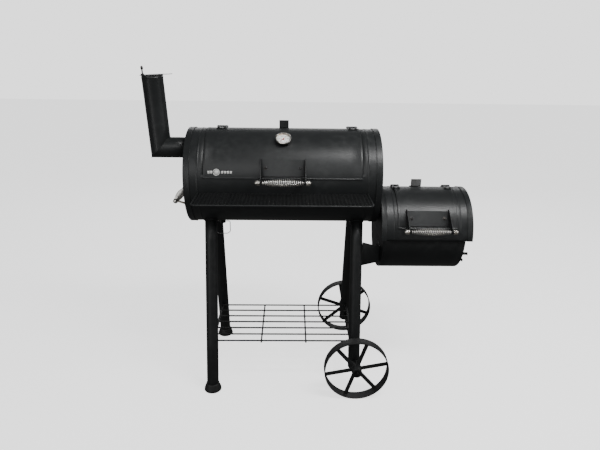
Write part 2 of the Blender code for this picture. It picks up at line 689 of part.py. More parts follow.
def make_door_handle(name, x_mid, radius, z, start, look, pivot):
    """A bracket with two ears on a door, the bar across them and its spring grip."""
    face = radius + DOOR_GAP + DOOR_SHEET + GAP
    t = math.radians(start)
    out = Vector((-math.cos(t), math.sin(t)))
    up = Vector((math.sin(t), math.cos(t)))
    bar = Vector((0.0, z)) + out * (face + HANDLE_OUT) - up * HANDLE_DROP
    foot = start + 2.0
    tip = start + math.degrees(HANDLE_TALL / face)
    arc = drum_arc(face, foot, tip, z)
    upper = (Vector(arc[-1]) - bar).normalized()
    lower = (Vector(arc[0]) - bar).normalized()
    over = bar + Vector((upper.y, -upper.x)) * -EAR_END_R
    under = bar + Vector((lower.y, -lower.x)) * EAR_END_R
    if (over - bar).dot(up) < 0:
        over, under = under, over
    bracket = band(face, face + EAR_T, foot + 0.6, start + math.degrees(PLATE_TALL / face),
                   x_mid - HANDLE_HALF, x_mid + HANDLE_HALF, z)
    for side in (-1, 1):
        x0 = x_mid + side * HANDLE_HALF - EAR_T / 2
        ear = prism([*arc, tuple(over), tuple(under)], "X", x0, x0 + EAR_T)
        end = cylinder("X", bar.x, bar.y, EAR_END_R, x0 + 0.0001, x0 + EAR_T - 0.0001, 20)
        bracket = join(bracket, join(ear, end))
    hole = cylinder("X", bar.x, bar.y, BAR_R + BAR_PLAY, x_mid - 0.2, x_mid + 0.2, 16)
    finish(cut(bracket, hole), name + "_bracket", look["black_paint"], pivot)
    place = Matrix.Translation((x_mid, bar.x, bar.y)) @ Matrix.Rotation(math.pi / 2, 4, "Y")
    make_bar_and_grip(name, place, look, pivot)


def make_side_handle(look, root):
    """The lifting handle on the left end: two flat legs from a strip, and the same bar and grip."""
    face = -CHAMBER_HALF - GAP
    bar_x = face - HANDLE_OUT
    foot_z = SIDE_HANDLE_Z - SIDE_LEG_DROP
    half_w = SIDE_LEG_W / 2
    strip = block(face - 0.003, face, -HANDLE_HALF, HANDLE_HALF, foot_z - half_w, foot_z + half_w)
    outline = [(face, foot_z - half_w), (face, foot_z + half_w), (bar_x, SIDE_HANDLE_Z + half_w),
               (bar_x, SIDE_HANDLE_Z - half_w)]
    for side in (-1, 1):
        y0 = side * HANDLE_HALF - EAR_T / 2
        leg = prism(outline, "Y", y0, y0 + EAR_T)
        eye = cylinder("Y", bar_x, SIDE_HANDLE_Z, 0.0085, y0 + 0.0001, y0 + EAR_T - 0.0001, 20)
        strip = join(strip, join(leg, eye))
    hole = cylinder("Y", bar_x, SIDE_HANDLE_Z, BAR_R + BAR_PLAY, -0.2, 0.2, 16)
    finish(cut(strip, hole), "side_handle_bracket", look["chrome"], root)
    place = Matrix.Translation((bar_x, 0.0, SIDE_HANDLE_Z)) @ Matrix.Rotation(math.pi / 2, 4, "X")
    make_bar_and_grip("side_handle", place, look, root)


# ---------------------------------------------------------------- thermometer
def gauge_place():
    """The thermometer's frame: origin on the closed lid, Z out of it, Y up the lid."""
    t = math.radians(GAUGE_DEG)
    radius = CHAMBER_R + DOOR_GAP + DOOR_SHEET
    out = Vector((0.0, -math.cos(t), math.sin(t)))
    up = Vector((0.0, math.sin(t), math.cos(t)))
    side = Vector((1.0, 0.0, 0.0))
    turn = Matrix((side, up, out)).transposed().to_4x4()
    origin = Vector((0.0, 0.0, CHAMBER_Z)) + out * radius
    return Matrix.Translation(origin) @ turn


def make_gauge(look, lid_pivot, needle_pivot):
    """The thermometer's case with its stem, and the needle."""
    place = gauge_place()
    base = 0.0008
    stem = 0.0032
    profile = [(0.0, -0.055), (stem, -0.055), (stem, base), (GAUGE_R - 0.003, base), (GAUGE_R, base + 0.003),
               (GAUGE_R, base + GAUGE_TALL), (GAUGE_R - GAUGE_WALL, base + GAUGE_TALL),
               (GAUGE_R - GAUGE_WALL, GAUGE_FLOOR), (0.0, GAUGE_FLOOR)]
    finish(turned(profile, place, 32), "thermometer_case", look["black_paint"], lid_pivot)
    z0 = GAUGE_FLOOR + NEEDLE_LIFT
    blade = prism([(-0.006, -NEEDLE_W / 2), (NEEDLE_LEN, -0.0004), (NEEDLE_LEN, 0.0004),
                   (-0.006, NEEDLE_W / 2)], "Z", z0, z0 + NEEDLE_T)
    boss = cylinder("Z", 0.0, 0.0, 0.0030, GAUGE_FLOOR + GAP, z0 + NEEDLE_T + 0.0006, 16)
    needle = join(blade, boss)
    needle.data.transform(place @ Matrix.Rotation(math.radians(-140.0), 4, "Z"))
    finish(needle, "thermometer_needle", look["dial_red"], needle_pivot)
    glass_r = GAUGE_R - GAUGE_WALL - 2 * GAP
    low = z0 + NEEDLE_T + 0.0020
    glass = turned([(0.0, low), (glass_r, low), (glass_r, low + GLASS_T), (0.0, low + GLASS_T + 0.001)],
                   place, 32)
    finish(glass, "thermometer_glass", look["clear_glass"], lid_pivot)


def gauge_hole():
    """The cutter for the thermometer's stem in the lid."""
    hole = cylinder("Z", 0.0, 0.0, 0.0040, -0.02, 0.02, 16)
    hole.data.transform(gauge_place())
    return hole


# ---------------------------------------------------------------- smokestack
def stack_place():
    """The frame at the middle of the stack's mouth, Z along the leaning pipe."""
    return Matrix.Translation(STACK_TOP) @ Matrix.Rotation(-LEAN, 4, "Y")


def stud_reach():
    """How far the damper's stud stands from the pipe's middle: against the inner wall."""
    return (STACK_R - STACK_WALL) * math.cos(math.pi / 40) - STUD_R - GAP


def make_stack(look, root, pivot):
    """The elbowed pipe, the stud welded inside its mouth and the flap that swivels on it."""
    inlet = Vector((-CHAMBER_HALF + 0.008, 0.0, ELBOW.z))
    pipe = rod([inlet, ELBOW, STACK_TOP], STACK_R, 40)
    along = (STACK_TOP - ELBOW).normalized()
    bore = rod([inlet + Vector((0.02, 0.0, 0.0)), ELBOW, STACK_TOP + along * 0.02], STACK_R - STACK_WALL, 40)
    finish(cut(pipe, bore), "smokestack", look["black_paint"], root)
    place = stack_place()
    reach = stud_reach()
    shift = Matrix.Translation((-reach, 0.0, 0.0))
    head = 0.0052
    stud = turned([(0.0, -STUD_BELOW), (STUD_R, -STUD_BELOW), (STUD_R, STUD_ABOVE - 0.004),
                   (head, STUD_ABOVE - 0.001), (head, STUD_ABOVE + 0.005), (0.5 * head, STUD_ABOVE + 0.009),
                   (0.0, STUD_ABOVE + 0.0095)], place @ shift, 12)
    finish(stud, "damper_stud", look["black_paint"], root)
    plate = cylinder("Z", 0.0, 0.0, STACK_R + FLAP_OVER, GAP, GAP + FLAP_T, 40)
    tab = block(STACK_R - 0.004, STACK_R + FLAP_TAB, -FLAP_TAB_W / 2, FLAP_TAB_W / 2, GAP + 0.0001,
                GAP + FLAP_T - 0.0001)
    hole = cylinder("Z", -reach, 0.0, STUD_R + 0.0004, -0.01, 0.01, 16)
    flap = cut(join(plate, tab), hole)
    flap.data.transform(place)
    finish(flap, "damper_flap", look["black_paint"], pivot)


# ---------------------------------------------------------------- shelf
def make_shelf(look, root):
    """The shelf's rolled edge on two ribs with gussets, and the mesh sheet inside it."""
    back = shelf_back() - SHELF_EDGE_R - 0.0012
    front = -SHELF_FRONT + SHELF_EDGE_R
    half = SHELF_HALF - SHELF_EDGE_R
    path = [(-half, back)]
    for sign, first in ((-1, 180.0), (1, 270.0)):
        for k in range(5):
            t = math.radians(first + 22.5 * k)
            path.append((sign * (half - SHELF_CORNER) + SHELF_CORNER * math.cos(t),
                         front + SHELF_CORNER + SHELF_CORNER * math.sin(t)))
    path.append((half, back))
    edge = rod([(x, y, SHELF_Z) for x, y in path], SHELF_EDGE_R, 8)
    edge = join(edge, rod([(-half - 0.002, back, SHELF_Z), (half + 0.002, back, SHELF_Z)],
                          SHELF_EDGE_R - 0.0002, 8))
    under = SHELF_Z - SHELF_SHEET / 2 - GAP
    low = under - SHELF_RIB_T
    arc = drum_arc(CHAMBER_R + GAP, -26.0, math.degrees(math.asin((low - CHAMBER_Z) / CHAMBER_R)), CHAMBER_Z)
    brace = [*arc, (arc[-1][0] - 0.006, low + 0.001), (arc[-1][0] - 0.085, low + 0.001)]
    for x in (-SHELF_RIB_X, SHELF_RIB_X):
        edge = join(edge, block(x - SHELF_RIB_W / 2, x + SHELF_RIB_W / 2, front - 0.001, back + 0.001,
                                low, under))
        edge = join(edge, prism(brace, "X", x - 0.0015, x + 0.0015))
    finish(edge, "shelf_frame", look["black_paint"], root)
    inset = SHELF_EDGE_R + GAP
    corner = SHELF_CORNER - inset
    outline = [(half - inset, back - inset), (inset - half, back - inset)]
    for sign, first in ((-1, 180.0), (1, 270.0)):
        for k in range(5):
            t = math.radians(first + 22.5 * k)
            outline.append((sign * (half - SHELF_CORNER) + corner * math.cos(t),
                            front + SHELF_CORNER + corner * math.sin(t)))
    sheet = prism(outline, "Z", SHELF_Z - SHELF_SHEET / 2, SHELF_Z + SHELF_SHEET / 2)
    finish(sheet, "shelf_mesh", look["black_paint"], root)


def shelf_back():
    """Where the drum's front stands at the shelf's height."""
    return -math.sqrt(CHAMBER_R ** 2 - (CHAMBER_Z - SHELF_Z) ** 2)


# ---------------------------------------------------------------- legs, rack, axle, wheels
def leg_y(z):
    """How far a leg's centre is from the middle at a height."""
    return LEG_SPREAD_LOW - LEG_SLOPE * z


def saddle_half_degrees():
    """Angle from the lowest line of the drum to just past where the legs meet it."""
    radius = CHAMBER_R + SADDLE_T + 2 * GAP
    tilt = math.sqrt(1 + LEG_SLOPE ** 2)
    z = CHAMBER_Z - radius
    for _ in range(40):
        y = leg_y(z) + LEG_R * tilt
        z = CHAMBER_Z - math.sqrt(radius ** 2 - y ** 2)
    return math.degrees(math.asin(y / radius)) + SADDLE_PAST_LEG


def make_leg(name, x, side, low, look, root, axle=False):
    """A round tube that leans in to the saddle; side is -1 front, 1 back."""
    tilt = math.sqrt(1 + LEG_SLOPE ** 2)
    high = CHAMBER_Z - 0.6 * CHAMBER_R
    rings = []
    for radius, z in ((LEG_R, low), (LEG_R, high), (LEG_R - LEG_WALL, high), (LEG_R - LEG_WALL, low)):
        mid = side * leg_y(z)
        rings.append([(x + radius * math.cos(t), mid + radius * tilt * math.sin(t), z)
                      for t in (2 * math.pi * i / 20 for i in range(20))])
    tube = loft(rings, closed=True)
    seat = cylinder("X", 0.0, CHAMBER_Z, CHAMBER_R + SADDLE_T + 2 * GAP, x - 0.05, x + 0.05, 64)
    tube = cut(tube, seat)
    if axle:
        mid = side * leg_y(WHEEL_R)
        hole = cylinder("Y", WHEEL_X, WHEEL_R, AXLE_R + GAP + 0.0002, mid - 0.05, mid + 0.05)
        tube = cut(tube, hole)
    finish(tube, name, look["black_paint"], root)


def make_stand(look, root):
    """The four legs, two feet, two saddles, the bottom rack and the axle."""
    foot_top = FOOT_TALL + GAP
    for side, word in ((-1, "front"), (1, "rear")):
        make_leg("leg_" + word + "_left", LEG_LEFT_X, side, foot_top, look, root)
        make_leg("leg_" + word + "_right", LEG_RIGHT_X, side, WHEEL_R - LEG_UNDER_AXLE, look, root, True)
        mid = side * leg_y(0.0)
        place = Matrix.Translation((LEG_LEFT_X, mid - side * LEG_SLOPE * FOOT_TALL * 0.5, 0.0))
        dome = [(0.0, 0.0), (FOOT_R - 0.001, 0.0), (FOOT_R, 0.002), (0.96 * FOOT_R, 0.010),
                (0.84 * FOOT_R, 0.024), (LEG_R + 0.002, FOOT_TALL), (0.0, FOOT_TALL)]
        finish(turned(dome, place, 24), "foot_" + word + "_left", look["black_paint"], root)
    spread = saddle_half_degrees()
    for word, x in (("left", LEG_LEFT_X), ("right", LEG_RIGHT_X)):
        saddle = band(CHAMBER_R + GAP, CHAMBER_R + GAP + SADDLE_T, -90.0 - spread, -90.0 + spread,
                      x - SADDLE_W / 2, x + SADDLE_W / 2, CHAMBER_Z)
        finish(saddle, "leg_saddle_" + word, look["black_paint"], root)
    make_rack(look, root)
    reach = WHEEL_SPREAD + HUB_LEN / 2 + 0.008
    finish(cylinder("Y", WHEEL_X, WHEEL_R, AXLE_R, -reach, reach), "axle", look["raw_steel"], root)


def make_rack(look, root):
    """The bottom rack: wires along X on two cross wires, between two end bars."""
    reach = leg_y(RACK_Z) - LEG_R * math.sqrt(1 + LEG_SLOPE ** 2) - 2 * GAP - LEG_SLOPE * RACK_END_R
    left, right = LEG_LEFT_X, LEG_RIGHT_X
    rack = rod([(left, -reach, RACK_Z), (left, reach, RACK_Z)], RACK_END_R, 8)
    over = RACK_Z + RACK_END_R * 0.5
    wires = []
    pitch = 2 * (reach - RACK_EDGE) / (RACK_WIRES - 1)
    for i in range(RACK_WIRES):
        y = pitch * (i - (RACK_WIRES - 1) / 2)
        wires.append(rod([(left - 0.004, y, over), (right + 0.004, y, over)], RACK_WIRE_R, 6))
    half = pitch * (RACK_WIRES - 1) / 2 + 0.006
    for x in RACK_CROSS_X:
        wires.append(rod([(x, -half, over - 1.5 * RACK_WIRE_R), (x, half, over - 1.5 * RACK_WIRE_R)],
                         RACK_WIRE_R, 6))
    wires.append(rod([(right, -reach, RACK_Z), (right, reach, RACK_Z)], RACK_END_R, 8))
    finish(join(rack, *wires), "bottom_rack", look["black_paint"], root)


def make_wheel(name, side, degrees, look, pivot):
    """A spoked wheel: a flat band, a hub and flat spokes that cross in the hub."""
    mid = side * WHEEL_SPREAD
    face = Matrix.Translation((WHEEL_X, mid, WHEEL_R)) @ Matrix.Rotation(-math.pi / 2, 4, "X")
    half = WHEEL_BAND / 2
    inner = WHEEL_R - WHEEL_RIM
    rim = turned([(inner, -half), (WHEEL_R, -half), (WHEEL_R, half), (inner, half)], face, 48)
    wheel = cylinder("Y", WHEEL_X, WHEEL_R, HUB_R, mid - HUB_LEN / 2, mid + HUB_LEN / 2, 24)
    for k in range(SPOKES // 2):
        t = math.radians(degrees + 360.0 * k / SPOKES)
        along = Vector((math.cos(t), math.sin(t))) * (inner + 0.0016)
        across = Vector((-math.sin(t), math.cos(t))) * (SPOKE_W / 2)
        centre = Vector((WHEEL_X, WHEEL_R))
        corners = [centre + along + across, centre - along + across, centre - along - across,
                   centre + along - across]
        bar = prism([tuple(c) for c in corners], "Y", mid - SPOKE_T / 2, mid + SPOKE_T / 2)
        wheel = join(wheel, bar)
    wheel = join(wheel, rim)
    bore = cylinder("Y", WHEEL_X, WHEEL_R, AXLE_R + WHEEL_PLAY, mid - 0.1, mid + 0.1)
    finish(cut(wheel, bore), name, look["cast_iron"], pivot)


# ---------------------------------------------------------------- drain
def make_drain(look, root, pivot):
    """The grease spout under the drum and the wire loop that a can hangs on."""
    top = CHAMBER_Z - CHAMBER_R + 0.004
    low = top - DRAIN_LEN
    rings = []
    bore = DRAIN_R - DRAIN_WALL
    for radius, z in ((DRAIN_R, low), (DRAIN_R, top), (bore, top), (bore, low)):
        rings.append([lift("Z", p, z) for p in circle(DRAIN_X, 0.0, radius, 20)])
    spout = loft(rings, closed=True)
    axis_z = low + 0.007
    spout = cut(spout, cylinder("X", 0.0, axis_z, HANGER_R + 0.0005, DRAIN_X - 0.03, DRAIN_X + 0.03, 8))
    finish(spout, "drain_spout", look["black_paint"], root)
    near = DRAIN_R - DRAIN_WALL / 2
    low = axis_z - HANGER_DROP
    path = [(near, axis_z), (HANGER_HALF - 0.004, axis_z), (HANGER_HALF, axis_z - 0.004),
            (HANGER_HALF, low + 0.012), (HANGER_HALF - 0.012, low)]
    loop = [(DRAIN_X - x, 0.0, z) for x, z in path] + [(DRAIN_X + x, 0.0, z) for x, z in path[::-1]]
    finish(rod(loop, HANGER_R, 8), "drip_hanger", look["raw_steel"], pivot)


# ---------------------------------------------------------------- the whole smoker
def middle_of_footprint(made):
    """The middle of the box round all solids, at its lowest point."""
    bpy.context.view_layer.update()
    corners = [piece.matrix_world @ Vector(c) for piece in made for c in piece.bound_box]
    low = Vector([min(c[i] for c in corners) for i in range(3)])
    high = Vector([max(c[i] for c in corners) for i in range(3)])
    return Vector(((low.x + high.x) / 2, (low.y + high.y) / 2, low.z))


def build():
    """Make every piece and stand the smoker on the middle of its footprint."""
    for old in list(bpy.data.objects):
        bpy.data.objects.remove(old)
    look = make_finishes()
    root = empty_at("model_origin", (0.0, 0.0, 0.0))
    lid = empty_at("chamber_lid_pivot", (0.0, PIN_BACK, CHAMBER_Z + CHAMBER_R + PIN_RISE), root)
    fire_lid = empty_at("firebox_lid_pivot", (HOOD_MID, PIN_BACK, FIREBOX_Z + FIREBOX_R + PIN_RISE), root)
    flap = empty_at("damper_pivot", stack_place() @ Vector((-stud_reach(), 0.0, 0.0)), root)
    vent = empty_at("vent_pivot", (TROUGH_X1, VENT_Y, VENT_Z), root)
    dial = empty_at("needle_pivot", gauge_place() @ Vector((0.0, 0.0, GAUGE_FLOOR)), root)
    spout_low = CHAMBER_Z - CHAMBER_R + 0.004 - DRAIN_LEN
    hanger = empty_at("hanger_pivot", (DRAIN_X, 0.0, spout_low + 0.007), root)
    front = empty_at("front_wheel_pivot", (WHEEL_X, -WHEEL_SPREAD, WHEEL_R), root)
    rear = empty_at("rear_wheel_pivot", (WHEEL_X, WHEEL_SPREAD, WHEEL_R), root)

    make_chamber(look, root)
    make_grates(look, root)
    make_firebox(look, root)
    make_vent(look, root, vent)
    make_door("chamber_lid", CHAMBER_R, CHAMBER_Z, CHAMBER_DOOR_FROM, 0.0, CHAMBER_DOOR_LEN, look, lid,
              gauge_hole())
    make_door("firebox_lid", FIREBOX_R, FIREBOX_Z, FIREBOX_DOOR_FROM, HOOD_MID, FIREBOX_DOOR_LEN, look,
              fire_lid)
    for word, side in (("left", -1), ("right", 1)):
        make_hinge("chamber_hinge_" + word, CHAMBER_HINGE_SHIFT + side * CHAMBER_HINGE_X, CHAMBER_HINGE_W,
                   CHAMBER_R, CHAMBER_Z, look, root, lid)
        make_hinge("firebox_hinge_" + word, HOOD_MID + side * FIREBOX_HINGE_X, FIREBOX_HINGE_W, FIREBOX_R,
                   FIREBOX_Z, look, root, fire_lid)
    make_stop("chamber_lid_stop", 0.0, STOP_W, CHAMBER_R, CHAMBER_Z, CHAMBER_OPEN_DEG, look["black_paint"],
              root)
    make_stop("firebox_lid_stop", HOOD_MID - FIREBOX_STOP_SHIFT, FIREBOX_STOP_W, FIREBOX_R, FIREBOX_Z,
              FIREBOX_OPEN_DEG, look["raw_steel"], root)
    make_door_handle("chamber_handle", 0.0, CHAMBER_R, CHAMBER_Z, CHAMBER_DOOR_FROM, look, lid)
    make_door_handle("firebox_handle", HOOD_MID, FIREBOX_R, FIREBOX_Z, FIREBOX_DOOR_FROM, look, fire_lid)
    make_side_handle(look, root)
    make_gauge(look, lid, dial)
    make_stack(look, root, flap)
    make_shelf(look, root)
    make_stand(look, root)
    make_wheel("front_wheel", -1, FRONT_WHEEL_TURN, look, front)
    make_wheel("rear_wheel", 1, REAR_WHEEL_TURN, look, rear)
    make_drain(look, root, hanger)

    solids = [piece for piece in bpy.data.objects if piece.type == "MESH"]
    root.location = -middle_of_footprint(solids)


build()
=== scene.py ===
"""Offset smoker: the finished surfaces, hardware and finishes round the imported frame.

All shapes are worked out in metres from the middle of the cooking chamber, at floor level:
X along the chamber, Y to the back, Z up. PLACE carries them to where the frame stands.
"""
import math

import bmesh
import bpy
import numpy as np
from mathutils import Matrix, Vector


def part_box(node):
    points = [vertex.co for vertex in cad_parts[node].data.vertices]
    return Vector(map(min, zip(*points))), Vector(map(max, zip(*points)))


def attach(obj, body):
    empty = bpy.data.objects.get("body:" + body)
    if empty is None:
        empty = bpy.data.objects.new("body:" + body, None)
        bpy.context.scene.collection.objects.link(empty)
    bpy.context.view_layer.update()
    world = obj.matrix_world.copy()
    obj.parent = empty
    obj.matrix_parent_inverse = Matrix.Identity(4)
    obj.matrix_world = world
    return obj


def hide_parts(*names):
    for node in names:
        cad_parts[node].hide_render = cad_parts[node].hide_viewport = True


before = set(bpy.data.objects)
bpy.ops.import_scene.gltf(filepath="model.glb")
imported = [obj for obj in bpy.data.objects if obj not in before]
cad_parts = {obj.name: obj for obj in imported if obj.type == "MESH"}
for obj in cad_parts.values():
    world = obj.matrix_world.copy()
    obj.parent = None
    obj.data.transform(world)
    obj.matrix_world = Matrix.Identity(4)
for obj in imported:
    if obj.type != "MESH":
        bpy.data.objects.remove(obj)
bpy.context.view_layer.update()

# ---------------------------------------------------------------- measures read from the frame
TAU = 2 * math.pi
shell_low, shell_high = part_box("chamber_shell")
PLACE = np.array([(shell_low.x + shell_high.x) / 2, (shell_low.y + shell_high.y) / 2, 0.0])


def span(node):
    """A node's lowest and highest corners, measured from the middle of the chamber."""
    low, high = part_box(node)
    return np.array(low) - PLACE, np.array(high) - PLACE


CZ = (shell_low.z + shell_high.z) / 2
CR = (shell_high.z - shell_low.z) / 2
CAP_LOW, CAP_HIGH = span("chamber_end_right")
CHAMBER_HALF = CAP_HIGH[0]
CAP_R = (CAP_HIGH[2] - CAP_LOW[2]) / 2
CAP_SKIRT = CAP_HIGH[0] - CAP_LOW[0]
SHEET = 0.0025
LID_LOW, LID_HIGH = span("chamber_lid")
LID_HALF = LID_HIGH[0]
LID_R = LID_HIGH[2] - CZ
LID_FROM = math.degrees(math.asin((LID_LOW[2] - CZ) / (LID_R - 0.002)))
HOOD_LOW, HOOD_HIGH = span("firebox_hood")
TROUGH_LOW, TROUGH_HIGH = span("firebox_body")
TROUGH_R = (TROUGH_HIGH[1] - TROUGH_LOW[1]) / 2
FZ = TROUGH_LOW[2] + TROUGH_R
TROUGH_RISE = TROUGH_HIGH[2] - FZ
HOOD_RIM = 0.0018
FR = HOOD_HIGH[1] - HOOD_RIM
FLID_LOW, FLID_HIGH = span("firebox_lid")
FLID_MID = (FLID_LOW[0] + FLID_HIGH[0]) / 2
FLID_HALF = (FLID_HIGH[0] - FLID_LOW[0]) / 2
FLID_R = FLID_HIGH[2] - FZ
FLID_FROM = math.degrees(math.asin((FLID_LOW[2] - FZ) / (FLID_R - 0.002)))


# ---------------------------------------------------------------- finishes
class Wire:
    """One socket of a finish, with sums written as sums."""

    def __init__(self, finish, socket):
        self.finish = finish
        self.socket = socket

    def sum_of(self, kind, first, second):
        return self.finish.node("Math", {"operation": kind}, {0: first, 1: second})

    def __add__(self, other):
        return self.sum_of("ADD", self, other)

    __radd__ = __add__

    def __sub__(self, other):
        return self.sum_of("SUBTRACT", self, other)

    def __rsub__(self, other):
        return self.sum_of("SUBTRACT", other, self)

    def __mul__(self, other):
        return self.sum_of("MULTIPLY", self, other)

    __rmul__ = __mul__

    def step(self, low, high):
        """0 below low, 1 above high, and an eased slope between."""
        sockets = {"Value": self, "From Min": low, "From Max": high}
        return self.finish.node("MapRange", {"interpolation_type": "SMOOTHSTEP"}, sockets)


class Finish:
    """A material on Object coordinates, built from one Principled shader."""

    def __init__(self, name, **constants):
        self.material = bpy.data.materials.new(name)
        self.material.use_nodes = True
        self.tree = self.material.node_tree
        self.shader = self.tree.nodes["Principled BSDF"]
        self.place = self.node("TexCoord", out="Object")
        for key, value in constants.items():
            self.feed(key.replace("_", " "), value)

    def feed(self, key, value):
        """Set or link one socket of the shader."""
        names = {name.lower(): name for name in self.shader.inputs.keys()}
        self.plug(self.shader.inputs[names[key.lower()]], value)

    def plug(self, socket, value):
        if isinstance(value, Wire):
            self.tree.links.new(value.socket, socket)
        else:
            socket.default_value = value

    def node(self, kind, settings=None, sockets=None, out=0):
        """Any node, by its type, its settings, its sockets' values or links, and the output used."""
        made = self.tree.nodes.new("ShaderNode" + kind)
        for key, value in (settings or {}).items():
            setattr(made, key, value)
        for key, value in (sockets or {}).items():
            self.plug(made.inputs[key], value)
        return Wire(self, made.outputs[out])

    def noise(self, scale, detail=2.0, stretch=None):
        """Noise with features of about 1 / scale metres, drawn out by stretch."""
        spot = self.place
        if stretch:
            spot = self.node("VectorMath", {"operation": "MULTIPLY"}, {0: spot, 1: stretch})
        return self.node("TexNoise", sockets={"Vector": spot, "Scale": scale, "Detail": detail})

    def cells(self, scale, feature="F1"):
        """Distance to the nearest of scattered points about 1 / scale metres apart."""
        return self.node("TexVoronoi", {"feature": feature}, {"Vector": self.place, "Scale": scale})

    def blend(self, share, first, second):
        """Two colours mixed by a share."""
        sockets = {0: share, 6: (*first, 1.0) if isinstance(first, tuple) else first,
                   7: (*second, 1.0) if isinstance(second, tuple) else second}
        return self.node("Mix", {"data_type": "RGBA"}, sockets, 2)

    def relief(self, height, depth, strength=1.0):
        """Raise the surface by a height of 0 to 1 times depth in metres."""
        sockets = {"Height": height, "Distance": depth, "Strength": strength}
        self.feed("normal", self.node("Bump", sockets=sockets))


def stove_paint(name, base, haze, rough, peel):
    """Sprayed stove paint: orange peel, a faint uneven haze, dry overspray and a few scuffs."""
    made = Finish(name, specular_ior_level=0.5)
    broad = made.noise(5.0, 3.0)
    film = made.noise(38.0, 5.0)
    grit = made.noise(950.0, 2.0)
    scuff = made.noise(60.0, 3.0, (1.0, 1.0, 9.0)).step(0.66, 0.74) * made.noise(11.0, 2.0).step(0.55, 0.70)
    veil = broad.step(0.35, 0.75) * film.step(0.30, 0.80)
    coat = made.blend(veil, base, haze)
    speck = grit.step(0.66, 0.78)
    bright = tuple(min(1.0, 2.1 * c + 0.01) for c in haze)
    coat = made.blend(speck * 0.35 + scuff * 0.25, coat, bright)
    made.feed("base color", coat)
    made.feed("roughness", film * 0.16 + broad * 0.10 + speck * 0.10 - scuff * 0.06 + (rough - 0.13))
    made.relief(made.noise(330.0, 2.0) * 0.7 + grit * 0.3 + film * 0.6, 0.00035, peel)
    return made.material


def plated(name, base, tint, rough, grain):
    """Plated steel: faint drawn lines, cloudy tarnish and pin-point marks."""
    made = Finish(name, metallic=1.0)
    cloud = made.noise(45.0, 4.0)
    lines = made.noise(420.0, 3.0, grain)
    marks = made.cells(240.0).step(0.10, 0.02)
    made.feed("base color", made.blend(cloud.step(0.45, 0.75), base, tint))
    made.feed("roughness", cloud * 0.14 + lines * 0.08 + marks * 0.2 + (rough - 0.09))
    made.relief(lines * 0.6 + marks * 0.4, 0.00008, 0.35)
    return made.material


def cast_paint(name, base, haze, rough):
    """Thick paint over cast and welded iron: lumps, pores and a faint uneven haze."""
    made = Finish(name)
    lump = made.noise(120.0, 4.0)
    pore = made.cells(420.0).step(0.16, 0.04)
    broad = made.noise(9.0, 3.0)
    made.feed("base color", made.blend(broad.step(0.4, 0.8) * lump.step(0.35, 0.8), base, haze))
    made.feed("roughness", lump * 0.2 + pore * 0.15 + (rough - 0.1))
    made.relief(lump * 0.8 - pore * 0.5 + made.noise(700.0, 1.0) * 0.2, 0.0005, 0.55)
    return made.material


def plain_enamel(name, base, rough, spread=0.06):
    """Printed or enamelled surfaces: nearly even, with a breath of unevenness."""
    made = Finish(name, coat_weight=0.3)
    cloud = made.noise(160.0, 3.0)
    dull = tuple(0.9 * c for c in base)
    made.feed("base color", made.blend(cloud.step(0.4, 0.8), base, dull))
    made.feed("roughness", cloud * spread + rough)
    made.relief(cloud, 0.00005, 0.3)
    return made.material


def clear_glass(name):
    """Thin clear glass with a trace of haze."""
    made = Finish(name, ior=1.45, transmission_weight=1.0, base_color=(0.97, 0.98, 0.98, 1.0))
    made.feed("roughness", made.noise(60.0, 2.0) * 0.04)
    return made.material


PAINT = stove_paint("stove_black", (0.0150, 0.0165, 0.0168), (0.030, 0.032, 0.032), 0.40, 0.30)
PAINT_LOW = stove_paint("stand_black", (0.0110, 0.0120, 0.0122), (0.024, 0.025, 0.025), 0.46, 0.34)
IRON = cast_paint("wheel_black", (0.0120, 0.0125, 0.0125), (0.030, 0.030, 0.029), 0.52)
COAL_IRON = cast_paint("grate_iron", (0.020, 0.018, 0.016), (0.060, 0.045, 0.035), 0.75)
CHROME = plated("bright_chrome", (0.90, 0.87, 0.81), (0.70, 0.65, 0.57), 0.20, (1.0, 6.0, 6.0))
SPRING_CHROME = plated("spring_chrome", (0.96, 0.94, 0.90), (0.86, 0.82, 0.75), 0.34, (1.0, 6.0, 6.0))
ZINC = plated("zinc_plate", (0.46, 0.46, 0.45), (0.34, 0.33, 0.31), 0.34, (8.0, 1.0, 1.0))
# Blackened steel for screws, bolts, pins, the gauge case, the damper post and the axle; the grip bars inside
# the coils wear it as painted shade from the coil.
DARK_BOLT_AND_SHADE = plated("blackened_bolt_and_shade", (0.060, 0.060, 0.060), (0.11, 0.10, 0.09), 0.38, (4.0, 4.0, 1.0))
# Grey steel for the firebox stop strap only: its grey is a painted reflection of light from above, not the
# strap's own colour.
PAINTED_SHEEN_STEEL = plated("painted_sheen_steel", (0.30, 0.30, 0.30), (0.20, 0.20, 0.19), 0.62, (3.0, 3.0, 3.0))
WHITE_DIAL = plain_enamel("dial_white", (0.80, 0.80, 0.77), 0.35)
DIAL_INK = plain_enamel("dial_ink", (0.020, 0.020, 0.022), 0.45)
DIAL_AMBER = plain_enamel("dial_amber", (0.70, 0.30, 0.06), 0.42)
NEEDLE_RED = plain_enamel("needle_red", (0.42, 0.030, 0.020), 0.35)
GLASS = clear_glass("gauge_glass")


